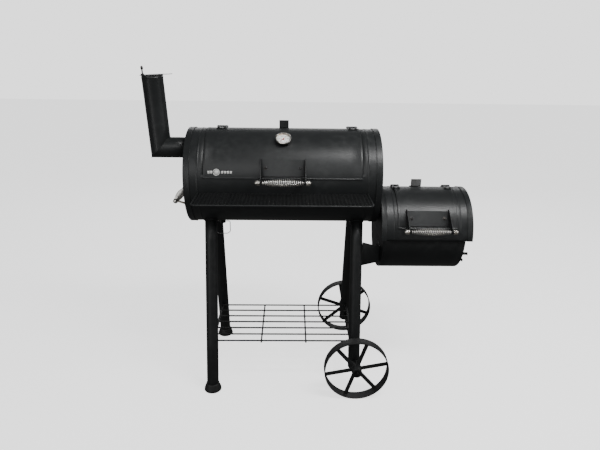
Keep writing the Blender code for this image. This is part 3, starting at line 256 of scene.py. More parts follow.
# ---------------------------------------------------------------- shapes
class Form:
    """Points and faces gathered for one piece."""

    def __init__(self):
        self.points = []
        self.faces = []
        self.count = 0

    def grid(self, points, around=False, along=False, keep=None):
        """Points[i, j] joined cell by cell; around closes i, along closes j, keep drops cells."""
        rows, columns = points.shape[:2]
        index = self.count + np.arange(rows * columns).reshape(rows, columns)
        if around:
            index = np.vstack([index, index[:1]])
        if along:
            index = np.hstack([index, index[:, :1]])
        cells = np.stack([index[:-1, :-1], index[1:, :-1], index[1:, 1:], index[:-1, 1:]], -1)
        cells = cells.reshape(-1, 4) if keep is None else cells[keep]
        self.points.append(points.reshape(-1, 3))
        self.faces.extend(cells.tolist())
        self.count += rows * columns
        return index

    def stack(self, rings):
        """Closed rings[i, j] joined in order and filled at both ends."""
        index = self.grid(rings, along=True)
        self.faces.append(index[0, :-1].tolist())
        self.faces.append(index[-1, :-1].tolist())

    def moved(self, matrix):
        """The same form, carried by a 4 x 4 matrix."""
        m = np.array(matrix)
        self.points = [p @ m[:3, :3].T + m[:3, 3] for p in self.points]
        return self

    def add(self, other):
        """Another form's points and faces, gathered into this one."""
        for points in other.points:
            self.points.append(points)
        self.faces.extend([[i + self.count for i in face] for face in other.faces])
        self.count += other.count
        return self


def piece(name, form, body, material, nodes=(), wall=0.0, sharp=36.0):
    """One finished piece: mesh, wall, material, the body it rides and the nodes it stands for."""
    mesh = bpy.data.meshes.new(name)
    mesh.from_pydata(np.concatenate(form.points) + PLACE, [], form.faces)
    work = bmesh.new()
    work.from_mesh(mesh)
    bmesh.ops.remove_doubles(work, verts=work.verts, dist=2e-6)
    bmesh.ops.recalc_face_normals(work, faces=work.faces)
    work.to_mesh(mesh)
    work.free()
    mesh.polygons.foreach_set("use_smooth", np.ones(len(mesh.polygons), bool))
    mesh.set_sharp_from_angle(angle=math.radians(sharp))
    made = bpy.data.objects.new(name, mesh)
    bpy.context.collection.objects.link(made)
    if wall:
        skin = made.modifiers.new("wall", "SOLIDIFY")
        skin.thickness = wall
        skin.offset = -1.0
        skin.use_even_offset = True
    mesh.materials.append(material)
    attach(made, body)
    if nodes:
        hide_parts(*nodes)
    return made


def eased(points, radius, steps=4):
    """A polyline with each inner corner drawn as a parabola that starts radius before it."""
    points = [np.array(p, float) for p in points]
    out = [points[0]]
    t = np.linspace(0.0, 1.0, steps + 1)[:, None]
    for before, here, after in zip(points, points[1:], points[2:]):
        a, b = before - here, after - here
        first = here + a * min(radius / np.linalg.norm(a), 0.5)
        last = here + b * min(radius / np.linalg.norm(b), 0.5)
        out.extend((1 - t) ** 2 * first + 2 * t * (1 - t) * here + t ** 2 * last)
    out.append(points[-1])
    return np.array(out)


def eased_loop(points, radius, steps=4):
    """A closed outline with every corner eased."""
    points = [np.array(p, float) for p in points]
    middle = (points[-1] + points[0]) / 2
    return eased([middle, *points, middle], radius, steps)[:-1]


def turned(profile, sides=64, matrix=None):
    """A (radius, height) profile turned about Z: x = r cos t, y = r sin t, z = h."""
    profile = np.array(profile, float)
    t = np.arange(sides) * TAU / sides
    points = np.stack([np.outer(np.cos(t), profile[:, 0]), np.outer(np.sin(t), profile[:, 0]),
                       np.outer(np.ones(sides), profile[:, 1])], -1)
    form = Form()
    form.grid(points, around=True)
    return form.moved(matrix) if matrix is not None else form


def swept(path, radius, sides=12, up=(0.0, 0.0, 1.0), loop=False):
    """A round rod along a path: each ring lies square to the path, its start turned towards up."""
    path = np.array(path, float)
    if loop:
        ahead = np.roll(path, -1, 0) - np.roll(path, 1, 0)
    else:
        ahead = np.gradient(path, axis=0)
    ahead /= np.linalg.norm(ahead, axis=1)[:, None]
    lead = np.array(up, float) - ahead * (ahead @ np.array(up, float))[:, None]
    lead /= np.linalg.norm(lead, axis=1)[:, None]
    side = np.cross(ahead, lead)
    t = np.arange(sides) * TAU / sides
    radius = np.broadcast_to(radius, len(path))[:, None, None]
    rings = path[:, None] + radius * (np.cos(t)[:, None] * lead[:, None] + np.sin(t)[:, None] * side[:, None])
    form = Form()
    if loop:
        form.grid(rings, around=True, along=True)
    else:
        form.stack(rings)
    return form


def round_rod(start, end, radius, sides=12, up=(0.0, 0.0, 1.0), lip=0.35):
    """A straight rod with its ends softly rounded off."""
    start, end = np.array(start, float), np.array(end, float)
    length = np.linalg.norm(end - start)
    cut = lip * radius
    along = np.array([0.0, 0.3 * cut, cut, length - cut, length - 0.3 * cut, length])
    width = radius * np.array([1 - lip, 1 - 0.35 * lip, 1.0, 1.0, 1 - 0.35 * lip, 1 - lip])
    return swept(start + (end - start) * (along / length)[:, None], width, sides, up)


def inset(outline, depth):
    """A flat outline moved inwards by depth along the mean of its edge normals."""
    ahead = np.roll(outline, -1, 0) - np.roll(outline, 1, 0)
    ahead /= np.linalg.norm(ahead, axis=1)[:, None]
    area = np.sum(outline[:, 0] * np.roll(outline[:, 1], -1) - outline[:, 1] * np.roll(outline[:, 0], -1))
    turn = 1.0 if area > 0 else -1.0
    return outline + depth * turn * np.stack([-ahead[:, 1], ahead[:, 0]], -1)


AXES = {"X": (1, 2, 0), "Y": (0, 2, 1), "Z": (0, 1, 2)}


def slab(outline, axis, low, high, lip=0.0006):
    """A flat outline carried from low to high along an axis, its edges rounded by lip."""
    outline = np.array(outline, float)
    first, second, third = AXES[axis]
    rings = []
    for place, depth in ((low, lip), (low + 0.3 * lip, 0.3 * lip), (low + lip, 0.0),
                         (high - lip, 0.0), (high - 0.3 * lip, 0.3 * lip), (high, lip)):
        flat = inset(outline, depth)
        ring = np.empty((len(flat), 3))
        ring[:, first] = flat[:, 0]
        ring[:, second] = flat[:, 1]
        ring[:, third] = place
        rings.append(ring)
    form = Form()
    form.stack(np.array(rings))
    return form


def ribbon(path, thick):
    """The closed outline of a strip that follows a flat path on its left side."""
    path = np.array(path, float)
    ahead = np.gradient(path, axis=0)
    ahead /= np.linalg.norm(ahead, axis=1)[:, None]
    left = np.stack([-ahead[:, 1], ahead[:, 0]], -1)
    return np.concatenate([path, (path + thick * left)[::-1]])


def drum_point(radius, degrees, z):
    """(y, z) of a drum at angles above its front: y = -r cos a, z = z0 + r sin a."""
    t = np.radians(degrees)
    return np.stack([-radius * np.cos(t), z + radius * np.sin(t)], -1)


def drum_grid(radius, degrees, xs, z, form, keep=None, around=False):
    """Drum points over angles and places along X; radius may vary with both."""
    radius = np.broadcast_to(radius, (len(degrees), len(xs)))
    t = np.radians(degrees)[:, None]
    points = np.stack([np.broadcast_to(xs, radius.shape), -radius * np.cos(t), z + radius * np.sin(t)], -1)
    return form.grid(points, around=around, keep=keep)


def lines(*stops, step):
    """Sorted places that hit every stop and are no further apart than step."""
    out = [np.array([stops[0]])]
    for a, b in zip(stops, stops[1:]):
        count = max(1, int(math.ceil(abs(b - a) / step - 1e-9)))
        out.append(np.linspace(a, b, count + 1)[1:])
    return np.concatenate(out)


def bead(places, centre, width, height):
    """A rolled ridge: height times a bell curve."""
    return height * np.exp(-((places - centre) / width) ** 2)


def stand(point, out, side=(1.0, 0.0, 0.0)):
    """A placing matrix at a point, Z pointing out, X as near side as it can."""
    z = Vector(out).normalized()
    x = Vector(side)
    x = (x - z * x.dot(z)).normalized()
    turn = Matrix((x, z.cross(x), z)).transposed().to_4x4()
    return Matrix.Translation(Vector([float(c) for c in point])) @ turn


def on_drum(radius, degrees, x, z, side=(1.0, 0.0, 0.0)):
    """A placing matrix on a drum's skin, Z pointing away from its axis."""
    t = math.radians(degrees)
    out = (0.0, -math.cos(t), math.sin(t))
    return stand((x, radius * out[1], z + radius * out[2]), out, side)


def pan_head(matrix, radius=0.0045, tall=0.0026):
    """A domed screw head on a thin washer: height = tall * sqrt(1 - (r / radius)^2)."""
    r = np.sin(np.linspace(0.0, math.pi / 2, 6)) * radius
    top = 0.0012 + tall * np.sqrt(np.maximum(0.0, 1 - (r / radius) ** 2))
    rings = list(zip(r, top)) + [(radius, 0.0012), (1.45 * radius, 0.0010), (1.5 * radius, -0.0006)]
    return turned(rings, 20, matrix)


def hex_head(matrix, across, tall, bore=0.0):
    """A hexagon with chamfered edges, standing on a washer."""
    flat = across / 2 / math.cos(math.pi / 6)
    form = turned([(bore, tall), (0.86 * across / 2, tall), (flat, tall - 0.0010), (flat, 0.0014),
                   (bore, 0.0014)],
                  6)
    form.add(turned([(bore, 0.0014), (0.64 * across, 0.0013), (0.66 * across, -0.0006)], 24))
    return form.moved(matrix)


def weld(path, radius, seed=0.0):
    """A weld bead: a rod whose radius ripples along its way."""
    path = np.array(path)
    way = np.concatenate([[0.0], np.cumsum(np.linalg.norm(np.diff(path, axis=0), axis=1))])
    swell = radius * (1.0 + 0.16 * np.sin(way * TAU / 0.0042) + 0.10 * np.sin(way * 611.0 + seed))
    return swept(path, swell, 8, (0.3, 0.5, 0.8))


# ---------------------------------------------------------------- drums and their ends
def reach(t, centre, radius, z0, flat=None, side=0):
    """How far a ray at angle t from centre (y, z) goes to a circle about z0, or to a flat line."""
    cy, cz = centre
    dy, dz = np.cos(t), np.sin(t)
    b = cy * dy + (cz - z0) * dz
    far = -b + np.sqrt(b * b + radius ** 2 - cy ** 2 - (cz - z0) ** 2)
    if side:
        ahead = side * dz > 1e-6
        far = np.minimum(far, np.where(ahead, (flat - cz) / np.where(ahead, dz, 1.0), 9.0))
    return far


def end_plate(form, x, facing, z0, radius, skirt, port, flat=None, side=0, press=0.004):
    """A pressed end: rows run out from the port's edge, over the press and along the skirt."""
    cy, cz, half_y, half_z, power = port
    t = np.arange(112) * TAU / 112
    if side:
        corner = math.sqrt(radius ** 2 - (flat - z0) ** 2)
        t = np.sort(np.append(t, [math.atan2(flat - cz, s * corner - cy) % TAU for s in (-1, 1)]))
    dy, dz = np.cos(t), np.sin(t)
    near = (np.abs(dy / half_y) ** power + np.abs(dz / half_z) ** power) ** (-1.0 / power)
    edge = reach(t, (cy, cz), radius - press, z0, flat, side)
    rows = [(near + (edge - near) * s, 0.0) for s in (0.0, 0.03, 0.25, 0.5, 0.75, 0.92, 1.0)]
    for a in np.radians([22.5, 45.0, 67.5, 90.0]):
        rim = radius - press + press * math.sin(a)
        rows.append((reach(t, (cy, cz), rim, z0, flat, side), press * (1 - math.cos(a))))
    for depth, out in ((skirt - 0.002, 0.0), (skirt - 0.0008, 0.0005), (skirt, 0.0009)):
        if skirt > press:
            rows.append((reach(t, (cy, cz), radius + out, z0, flat, side), depth))
    points = np.stack([np.stack([np.full(len(t), x - facing * depth), cy + r * dy, cz + r * dz], -1)
                       for r, depth in rows], 1)
    keep = np.ones((len(t), len(rows) - 1), bool)
    if side:
        on_flat = np.abs(points[:, 6, 2] - flat) < 1e-7
        keep[:, 6:] = ~(on_flat & np.roll(on_flat, -1))[:, None]
    form.grid(points, around=True, keep=keep)


def drum_shell(form, radius, degrees, xs, z, opening, bulge, around):
    """A drum's sheet with ridges; opening = (from, to, x from, x to) is left out."""
    mid_a = (degrees + np.roll(degrees, -1)) / 2 if around else (degrees[:-1] + degrees[1:]) / 2
    mid_x = (xs[:-1] + xs[1:]) / 2
    if around:
        mid_a[-1] = 359.9
    a0, a1, x0, x1 = opening
    hole = ((mid_a > a0) & (mid_a < a1))[:, None] & ((mid_x > x0) & (mid_x < x1))[None, :]
    drum_grid(radius + bulge[None, :], degrees, xs, z, form, ~hole, around)


SHUT = 1e-7
THROAT_LOW, THROAT_HIGH = span("heat_throat")
THROAT_Z = (THROAT_LOW[2] + THROAT_HIGH[2]) / 2
THROAT_PORT = (0.0, THROAT_Z, THROAT_HIGH[1], (THROAT_HIGH[2] - THROAT_LOW[2]) / 2, 9.0)
STACK_LOW, STACK_HIGH = span("smokestack")
PIPE_R = (STACK_HIGH[1] - STACK_LOW[1]) / 2
ELBOW_Z = CZ + 0.1181


def make_chamber():
    """The drum with its ridges, the two end caps and the duct to the firebox."""
    a0, end, half = LID_FROM + 3.4, CHAMBER_HALF - 0.006, LID_HALF - 0.012
    degrees = lines(0.0, a0, 84.0, 360.0, step=3.0)[:-1]
    ridge = 0.3495
    xs = lines(-end, -ridge - 0.008, -ridge + 0.008, -half, half, ridge - 0.008, ridge + 0.008, end,
               step=0.03)
    fine = np.linspace(-0.008, 0.008, 13)
    xs = np.unique(np.round(np.concatenate([xs, ridge + fine, -ridge + fine]), 7))
    bulge = bead(np.abs(xs), ridge, 0.0032, 0.0014)
    form = Form()
    drum_shell(form, CR, degrees, xs, CZ, (a0, 84.0, -half, half), bulge, True)
    piece("chamber_drum", form, "smoker", PAINT, ["chamber_shell"], SHEET)
    seam = [(x, 0.0012, CZ - CR - 0.0004) for x in np.linspace(-0.27, 0.27, 360)]
    piece("chamber_seam", weld(seam, 0.0016), "smoker", PAINT_LOW)
    pipe_port = (0.0, ELBOW_Z, PIPE_R + 0.0004, PIPE_R + 0.0004, 2.0)
    for word, facing, port in (("left", -1, pipe_port), ("right", 1, THROAT_PORT)):
        form = Form()
        end_plate(form, facing * CHAMBER_HALF, facing, CZ, CAP_R, CAP_SKIRT, port)
        piece("chamber_cap_" + word, form, "smoker", PAINT, ["chamber_end_" + word], 0.0021)
    t = np.arange(48) * TAU / 48
    a, b, n = THROAT_PORT[2], THROAT_PORT[3], THROAT_PORT[4]
    r = (np.abs(np.cos(t) / a) ** n + np.abs(np.sin(t) / b) ** n) ** (-1 / n) - 0.0002
    rows = [np.stack([np.full(48, x), r * np.cos(t), THROAT_Z + r * np.sin(t)], -1)
            for x in (THROAT_LOW[0], THROAT_HIGH[0])]
    form = Form()
    form.grid(np.stack(rows, 1), around=True)
    piece("throat_duct", form, "smoker", PAINT_LOW, ["heat_throat"], 0.0024)


def door_sheet(name, x_mid, half, radius, start, z, node, body):
    """A rolled door: its lower edge flares out a little, its side hems stand a hair proud."""
    lip = math.degrees(0.0045 / radius)
    degrees = lines(start, start + lip, start + 1.6 * lip, 90.5, step=2.4)
    degrees = np.unique(np.concatenate([degrees, start + lip * np.linspace(0, 1.5, 8)]))
    xs = lines(-half, 0.009 - half, 0.011 - half, half - 0.011, half - 0.009, half, step=0.04)
    low = np.clip((start + lip - degrees) / lip, 0.0, 1.0)[:, None] ** 1.4
    side = np.clip((np.abs(xs) - (half - 0.011)) / 0.002, 0.0, 1.0)[None, :]
    hem = low * 0.0022 + side * (1 - low) * 0.0007
    form = Form()
    drum_grid(radius + hem, degrees, xs + x_mid, z, form)
    made = piece(name, form, body, PAINT, [node], 0.0019, 50.0)
    soft = made.modifiers.new("edge", "BEVEL")
    soft.width = 0.0008
    soft.segments = 2
    soft.limit_method = "ANGLE"
    soft.angle_limit = math.radians(50.0)


def make_firebox():
    """The hood with pressed ends and a lidded opening, and the trough that hangs in it."""
    x0, x1 = HOOD_LOW[0], HOOD_HIGH[0]
    a0, half = FLID_FROM + 3.86, FLID_HALF - 0.012
    degrees = lines(0.0, a0, 84.0, 180.0, step=3.0)
    xs = lines(x0 + 0.003, x0 + 0.05, FLID_MID - half, FLID_MID + half, x1 - 0.05, x1 - 0.003, step=0.03)
    ridge = 0.140
    fine = np.linspace(-0.006, 0.006, 9)
    xs = np.unique(np.round(np.concatenate([xs, FLID_MID + ridge + fine, FLID_MID - ridge + fine]), 7))
    bulge = bead(np.abs(xs - FLID_MID), ridge, 0.0028, 0.0012)
    form = Form()
    drum_shell(form, FR - 0.0002, degrees, xs, FZ, (a0, 84.0, FLID_MID - half, FLID_MID + half), bulge, False)
    shut = (0.0, FZ + 0.07, SHUT, SHUT, 2.0)
    end_plate(form, x0, -1, FZ, FR + HOOD_RIM, 0.024, THROAT_PORT, FZ - 0.0002, -1)
    end_plate(form, x1, 1, FZ, FR + HOOD_RIM, 0.024, shut, FZ - 0.0002, -1)
    piece("firebox_top", form, "smoker", PAINT, ["firebox_hood"], 0.0022)
    x0, x1 = TROUGH_LOW[0], TROUGH_HIGH[0]
    rise = math.degrees(math.asin(TROUGH_RISE / TROUGH_R))
    degrees = lines(-180.0 - rise, 0.0, rise, step=4.0)
    form = Form()
    drum_grid(TROUGH_R, degrees, lines(x0 + 0.004, x1 - 0.004, step=0.04), FZ, form)
    low, high = span("vent_guide")
    inlet = (span("vent_slide")[0][1] + 0.023, (low[2] + high[2]) / 2, 0.015, 0.015, 12.0)
    shut = (0.0, FZ - 0.08, SHUT, SHUT, 2.0)
    end_plate(form, x0, -1, FZ, TROUGH_R, 0.0, shut, FZ + TROUGH_RISE, 1)
    end_plate(form, x1, 1, FZ, TROUGH_R, 0.0, inlet, FZ + TROUGH_RISE, 1)
    piece("firebox_trough", form, "smoker", PAINT_LOW, ["firebox_body"], 0.0023)


# ---------------------------------------------------------------- hinges and stops
def arc_path(radius, a0, a1, z, count=9):
    """(y, z) points along a drum's skin."""
    return drum_point(radius, np.linspace(a0, a1, count), z)


def make_hinge(name, radius, z, body):
    """A butt hinge: a leaf behind the pin with the middle knuckle, a leaf on the door with two."""
    low, high = span(name + "_pin")
    x, pin_y, pin_z = (low + high) / 2
    rod = (high[2] - low[2]) / 2
    low, high = span(name + "_moving_leaf")
    width, knuckle = high[0] - low[0], high[2] - pin_z
    third = width / 6
    span_deg = math.degrees(0.026 / radius)
    start = 90.0 + math.degrees(math.asin(0.021 / radius))
    across = stand((x, pin_y, pin_z), (1.0, 0.0, 0.0), (0.0, 1.0, 0.0))

    def barrel(x_from, x_to):
        lip = 0.0006
        rings = [(rod, x_from - x), (knuckle - lip, x_from - x), (knuckle, x_from - x + lip),
                 (knuckle, x_to - x - lip), (knuckle - lip, x_to - x), (rod, x_to - x)]
        return turned(rings, 28, across)

    fixed = slab(ribbon(arc_path(radius + 0.0004, start, start + span_deg, z), 0.0024), "X",
                 x - width / 2, x + width / 2)
    curl = [(pin_y + 0.0020, z + radius + 0.001), (pin_y + knuckle - 0.0002, z + radius + 0.001),
            (pin_y + knuckle - 0.0002, pin_z), (pin_y + 0.0024, pin_z)]
    fixed.add(slab(curl, "X", x - third + 0.0002, x + third - 0.0002))
    fixed.add(barrel(x - third, x + third))
    low = radius + 0.0041
    moving = slab(ribbon(arc_path(low, 90.1 - span_deg, 90.1, z), 0.0024), "X", x - width / 2, x + width / 2)
    for s in (-1, 1):
        ends = sorted((x + s * (third + 0.0006), x + s * (width / 2 - 0.0001)))
        moving.add(barrel(*ends))
        strap = [(-0.006, z + low + 0.0001), (pin_y - 0.0026, z + low + 0.0001),
                 (pin_y - 0.0026, z + low + 0.0023), (-0.006, z + low + 0.0023)]
        moving.add(slab(strap, "X", ends[0] + 0.0002, ends[1] - 0.0002, 0.0003))
    piece(name + "_leaf_back", fixed, "smoker", PAINT, [name + "_fixed_leaf"])
    piece(name + "_leaf_door", moving, body, PAINT, [name + "_moving_leaf"])
    back, door = Form(), Form()
    for s in (-1, 1):
        back.add(pan_head(on_drum(radius + 0.0027, start + 0.62 * span_deg, x + s * 0.3 * width, z), 0.0036,
                          0.0022))
        door.add(pan_head(on_drum(low + 0.0023, 90.1 - 0.62 * span_deg, x + s * 0.3 * width, z), 0.0036,
                          0.0022))
    piece(name + "_screws_back", back, "smoker", DARK_BOLT_AND_SHADE)
    piece(name + "_screws_door", door, body, DARK_BOLT_AND_SHADE)
    half = width / 2 + 0.003
    pin = [(0.0, -half), (0.0032, -half), (0.0034, 0.0016 - half), (0.0034, 0.0024 - half),
           (rod, 0.0027 - half),
           (rod, half - 0.0008), (0.7 * rod, half), (0.0, half)]
    piece(name + "_pin_rod", turned(pin, 20, across), "smoker", DARK_BOLT_AND_SHADE, [name + "_pin"])


def make_stop(name, radius, z, node, finish):
    """A bent strap behind the crest: its foot on the drum, its upright against the open door."""
    low, high = span(node)
    face, top = low[1], high[2]
    x_mid = (low[0] + high[0]) / 2
    foot = arc_path(radius + 0.0004, 90.0 + math.degrees(math.asin((face + 0.010) / radius)),
                    90.0 + math.degrees(0.038 / radius) + math.degrees(math.asin(face / radius)), z, 8)
    bend = np.array([(face, top), (face, top - 0.010), (face, z + radius + 0.006)])
    corner = np.array([(face, z + radius * math.cos(math.asin(face / radius)) + 0.0006)])
    path = eased(np.concatenate([bend, corner, foot]), 0.005)
    form = slab(ribbon(path, 0.0036), "X", low[0], high[0], 0.0007)
    piece(name + "_strap", form, "smoker", finish, [node])
    bolts = Form()
    for s in (-1, 1):
        degrees = 90.0 + math.degrees((face + 0.024) / radius)
        bolts.add(pan_head(on_drum(radius + 0.0036, degrees, x_mid + s * 0.011, z), 0.0038, 0.0024))
    piece(name + "_bolts", bolts, "smoker", DARK_BOLT_AND_SHADE)


# ---------------------------------------------------------------- handles
HANDLE_HALF = 0.090
BAR_R = 0.0040


def swell(t):
    """Outer radius of a grip at t = -1 to 1 along it: a barrel that narrows to its ends."""
    return 0.0070 + 0.0095 * np.maximum(0.0, 1 - t * t) ** 0.8


def make_grip(name, place, body):
    """The bar, darkened as painted shade from the coil, with its acorn nuts, and the coil: 20 turns of wire
    whose radius follows the barrel.
    """
    end = HANDLE_HALF + 0.0020 + 0.021
    nut = [(0.0, 0.0), (0.0035, 0.0004), (0.0065, 0.0019), (0.0087, 0.0042), (0.0101, 0.0072),
           (0.0107, 0.0105),
           (0.0108, 0.0122)]
    form = Form()
    for s in (-1, 1):
        rings = [(r, s * (h - end)) for r, h in nut] + [(0.0093, s * (0.0124 - end)),
                                                        (BAR_R, s * (0.0124 - end))]
        form.add(turned(rings, 32, place))
        hexagon = [(BAR_R, 0.0124), (0.0095, 0.0124), (0.0108, 0.0132), (0.0108, 0.0180), (0.0098, 0.0188),
                   (BAR_R, 0.0188)]
        form.add(turned([(r, s * (h - end)) for r, h in hexagon], 6, place))
        washer = [(BAR_R, 0.0188), (0.0108, 0.0188), (0.0110, 0.0208), (BAR_R, 0.0210)]
        form.add(turned([(r, s * (h - end)) for r, h in washer], 28, place))
    rod = round_rod((0.0, 0.0, 0.004 - end), (0.0, 0.0, end - 0.004), BAR_R, 16, (1.0, 0.0, 0.0))
    # The bar takes the dark bolt finish as painted shade: the coil around it shades it.
    piece(name + "_bar", rod.moved(place), body, DARK_BOLT_AND_SHADE)
    piece(name + "_nuts", form, body, CHROME, [name + "_rod"], 0.0, 30.0)
    wire = 0.0021
    u = np.linspace(-1.0, 1.0, 20 * 24 + 1)
    t = TAU * 20 * u / 2
    radius = swell(u) - wire
    path = np.stack([radius * np.cos(t), radius * np.sin(t), u * (0.085 - wire)], -1)
    coil = swept(path, wire * np.where(np.abs(u) > 0.999, 0.6, 1.0), 8, (0.0, 0.0, 1.0))
    piece(name + "_coil", coil.moved(place), body, SPRING_CHROME, [name + "_spring"])


def make_door_handle(name, x_mid, radius, z, start, body):
    """A bracket on a door: a flat plate, two ears that reach out to the bar, and two screws."""
    face = radius + 0.0038
    t = math.radians(start)
    out = np.array([-math.cos(t), math.sin(t)])
    up = np.array([math.sin(t), math.cos(t)])
    bar = np.array([0.0, z]) + out * (face + 0.055) - up * 0.012
    deg = math.degrees(1.0 / face)
    tall = 0.0335
    level = start + 2.6 + tall * deg
    mid = math.radians(level)
    normal = np.array([-math.cos(mid), math.sin(mid)])
    way_up = np.array([math.sin(mid), math.cos(mid)])
    seat = np.array([0.0, z]) + normal * (face + 0.0003)
    plate = slab(ribbon([seat - way_up * tall, seat + way_up * tall], 0.0022), "X",
                 x_mid - HANDLE_HALF, x_mid + HANDLE_HALF, 0.0007)
    arc = arc_path(face + 0.0004, start + 2.0, start + 0.083 * deg, z, 12)
    tip = math.radians(start + 0.080 * deg)
    crown = np.array([0.0, z]) + np.array([-math.cos(tip), math.sin(tip)]) * (face + 0.0110)
    arc = np.concatenate([arc, [crown]])
    heads = []
    for root, sign in ((arc[-1], 1), (arc[0], -1)):
        way = bar - root
        side = np.array([-way[1], way[0]]) / np.linalg.norm(way)
        heads.append(side if side @ up * sign > 0 else -side)
    a0 = math.atan2(heads[0][1], heads[0][0])
    a1 = math.atan2(heads[1][1], heads[1][0])
    turn = (a1 - a0) % TAU
    middle = a0 + turn / 2
    if math.cos(middle) * out[0] + math.sin(middle) * out[1] < 0:
        turn -= TAU
    nose = a0 + np.linspace(0.0, turn, 13)
    head = bar + 0.0095 * np.stack([np.cos(nose), np.sin(nose)], -1)
    for s in (-1, 1):
        x = x_mid + s * HANDLE_HALF
        plate.add(slab(np.concatenate([arc, head]), "X", x - 0.00125, x + 0.00125, 0.0004))
    piece(name + "_plate", plate, body, PAINT, [name + "_bracket"])
    bolts = Form()
    for s in (-1, 1):
        bolts.add(pan_head(on_drum(face + 0.0026, level, x_mid + s * 0.070, z), 0.0058, 0.0036))
    piece(name + "_bolts", bolts, body, DARK_BOLT_AND_SHADE)
    make_grip(name, stand((x_mid, bar[0], bar[1]), (1.0, 0.0, 0.0), (0.0, 1.0, 0.0)), body)


def make_side_handle():
    """The lifting handle: a strap on the end cap, two threaded legs with eyes, the bar and its grip."""
    face = -CHAMBER_HALF - 0.0004
    bar_x, bar_z = face - 0.055, 0.850
    foot_z = bar_z - 0.018
    strap = [(-0.100, foot_z - 0.006), (0.100, foot_z - 0.006), (0.100, foot_z + 0.006),
             (-0.100, foot_z + 0.006)]
    form = slab(eased_loop(strap, 0.004), "X", face - 0.003, face, 0.0005)
    for s in (-1, 1):
        y = s * HANDLE_HALF
        steps = np.linspace(0.0, 1.0, 130)
        rise = np.array([bar_x - face + 0.009, 0.0, 0.0152])
        path = np.array([face - 0.002, y, foot_z]) + steps[:, None] * rise
        thread = 0.0046 + 0.0006 * np.sin(steps * TAU * 20)
        form.add(swept(path, thread, 16))
        form.add(hex_head(stand((face - 0.003, y, foot_z), (-1.0, 0.0, 0.0), (0.0, 1.0, 0.0)), 0.014, 0.006))
        eye = [(0.0043, -0.0032), (0.0080, -0.0032), (0.0090, -0.0020), (0.0090, 0.0020), (0.0080, 0.0032),
               (0.0043, 0.0032), (0.0043, -0.0032)]
        form.add(turned(eye, 28, stand((bar_x, y, bar_z), (0.0, 1.0, 0.0))))
    piece("side_handle_legs", form, "smoker", CHROME, ["side_handle_bracket"])
    make_grip("side_handle", stand((bar_x, 0.0, bar_z), (0.0, 1.0, 0.0)), "smoker")


# ---------------------------------------------------------------- thermometer
GAUGE_DEG = 55.5


def arc_blade(inner, outer, a0, a1, height, count=2):
    """A flat sector on a dial at one height, angles in degrees from the dial's +X."""
    t = np.radians(np.linspace(a0, a1, count))
    form = Form()
    rows = [np.stack([r * np.cos(t), r * np.sin(t), np.full(count, height)], -1) for r in (inner, outer)]
    form.grid(np.stack(rows, 0))
    return form


SEGMENTS = {"0": "abcdef", "1": "bc", "2": "abged", "3": "abgcd", "4": "fgbc", "5": "afgcd"}
STROKES = {"a": ((0, 2), (1, 2)), "b": ((1, 2), (1, 1)), "c": ((1, 1), (1, 0)), "d": ((1, 0), (0, 0)),
           "e": ((0, 0), (0, 1)), "f": ((0, 1), (0, 2)), "g": ((0, 1), (1, 1))}


def numeral(text, x, y, tall, height):
    """Plain numerals drawn with straight strokes, centred at (x, y) on a dial."""
    form = Form()
    unit, thick = tall / 2, tall * 0.09
    left = x - (len(text) * 1.5 - 0.5) * unit / 2
    for k, digit in enumerate(text):
        for key in SEGMENTS[digit]:
            (ax, ay), (bx, by) = STROKES[key]
            a = np.array([left + (1.5 * k + ax) * unit, y + (ay - 1) * unit])
            b = np.array([left + (1.5 * k + bx) * unit, y + (by - 1) * unit])
            way = (b - a) / np.linalg.norm(b - a)
            side = np.array([-way[1], way[0]]) * thick
            ends = np.array([[a - way * thick - side, a - way * thick + side],
                             [b + way * thick - side, b + way * thick + side]])
            form.grid(np.concatenate([ends, np.full((2, 2, 1), height)], -1))
    return form


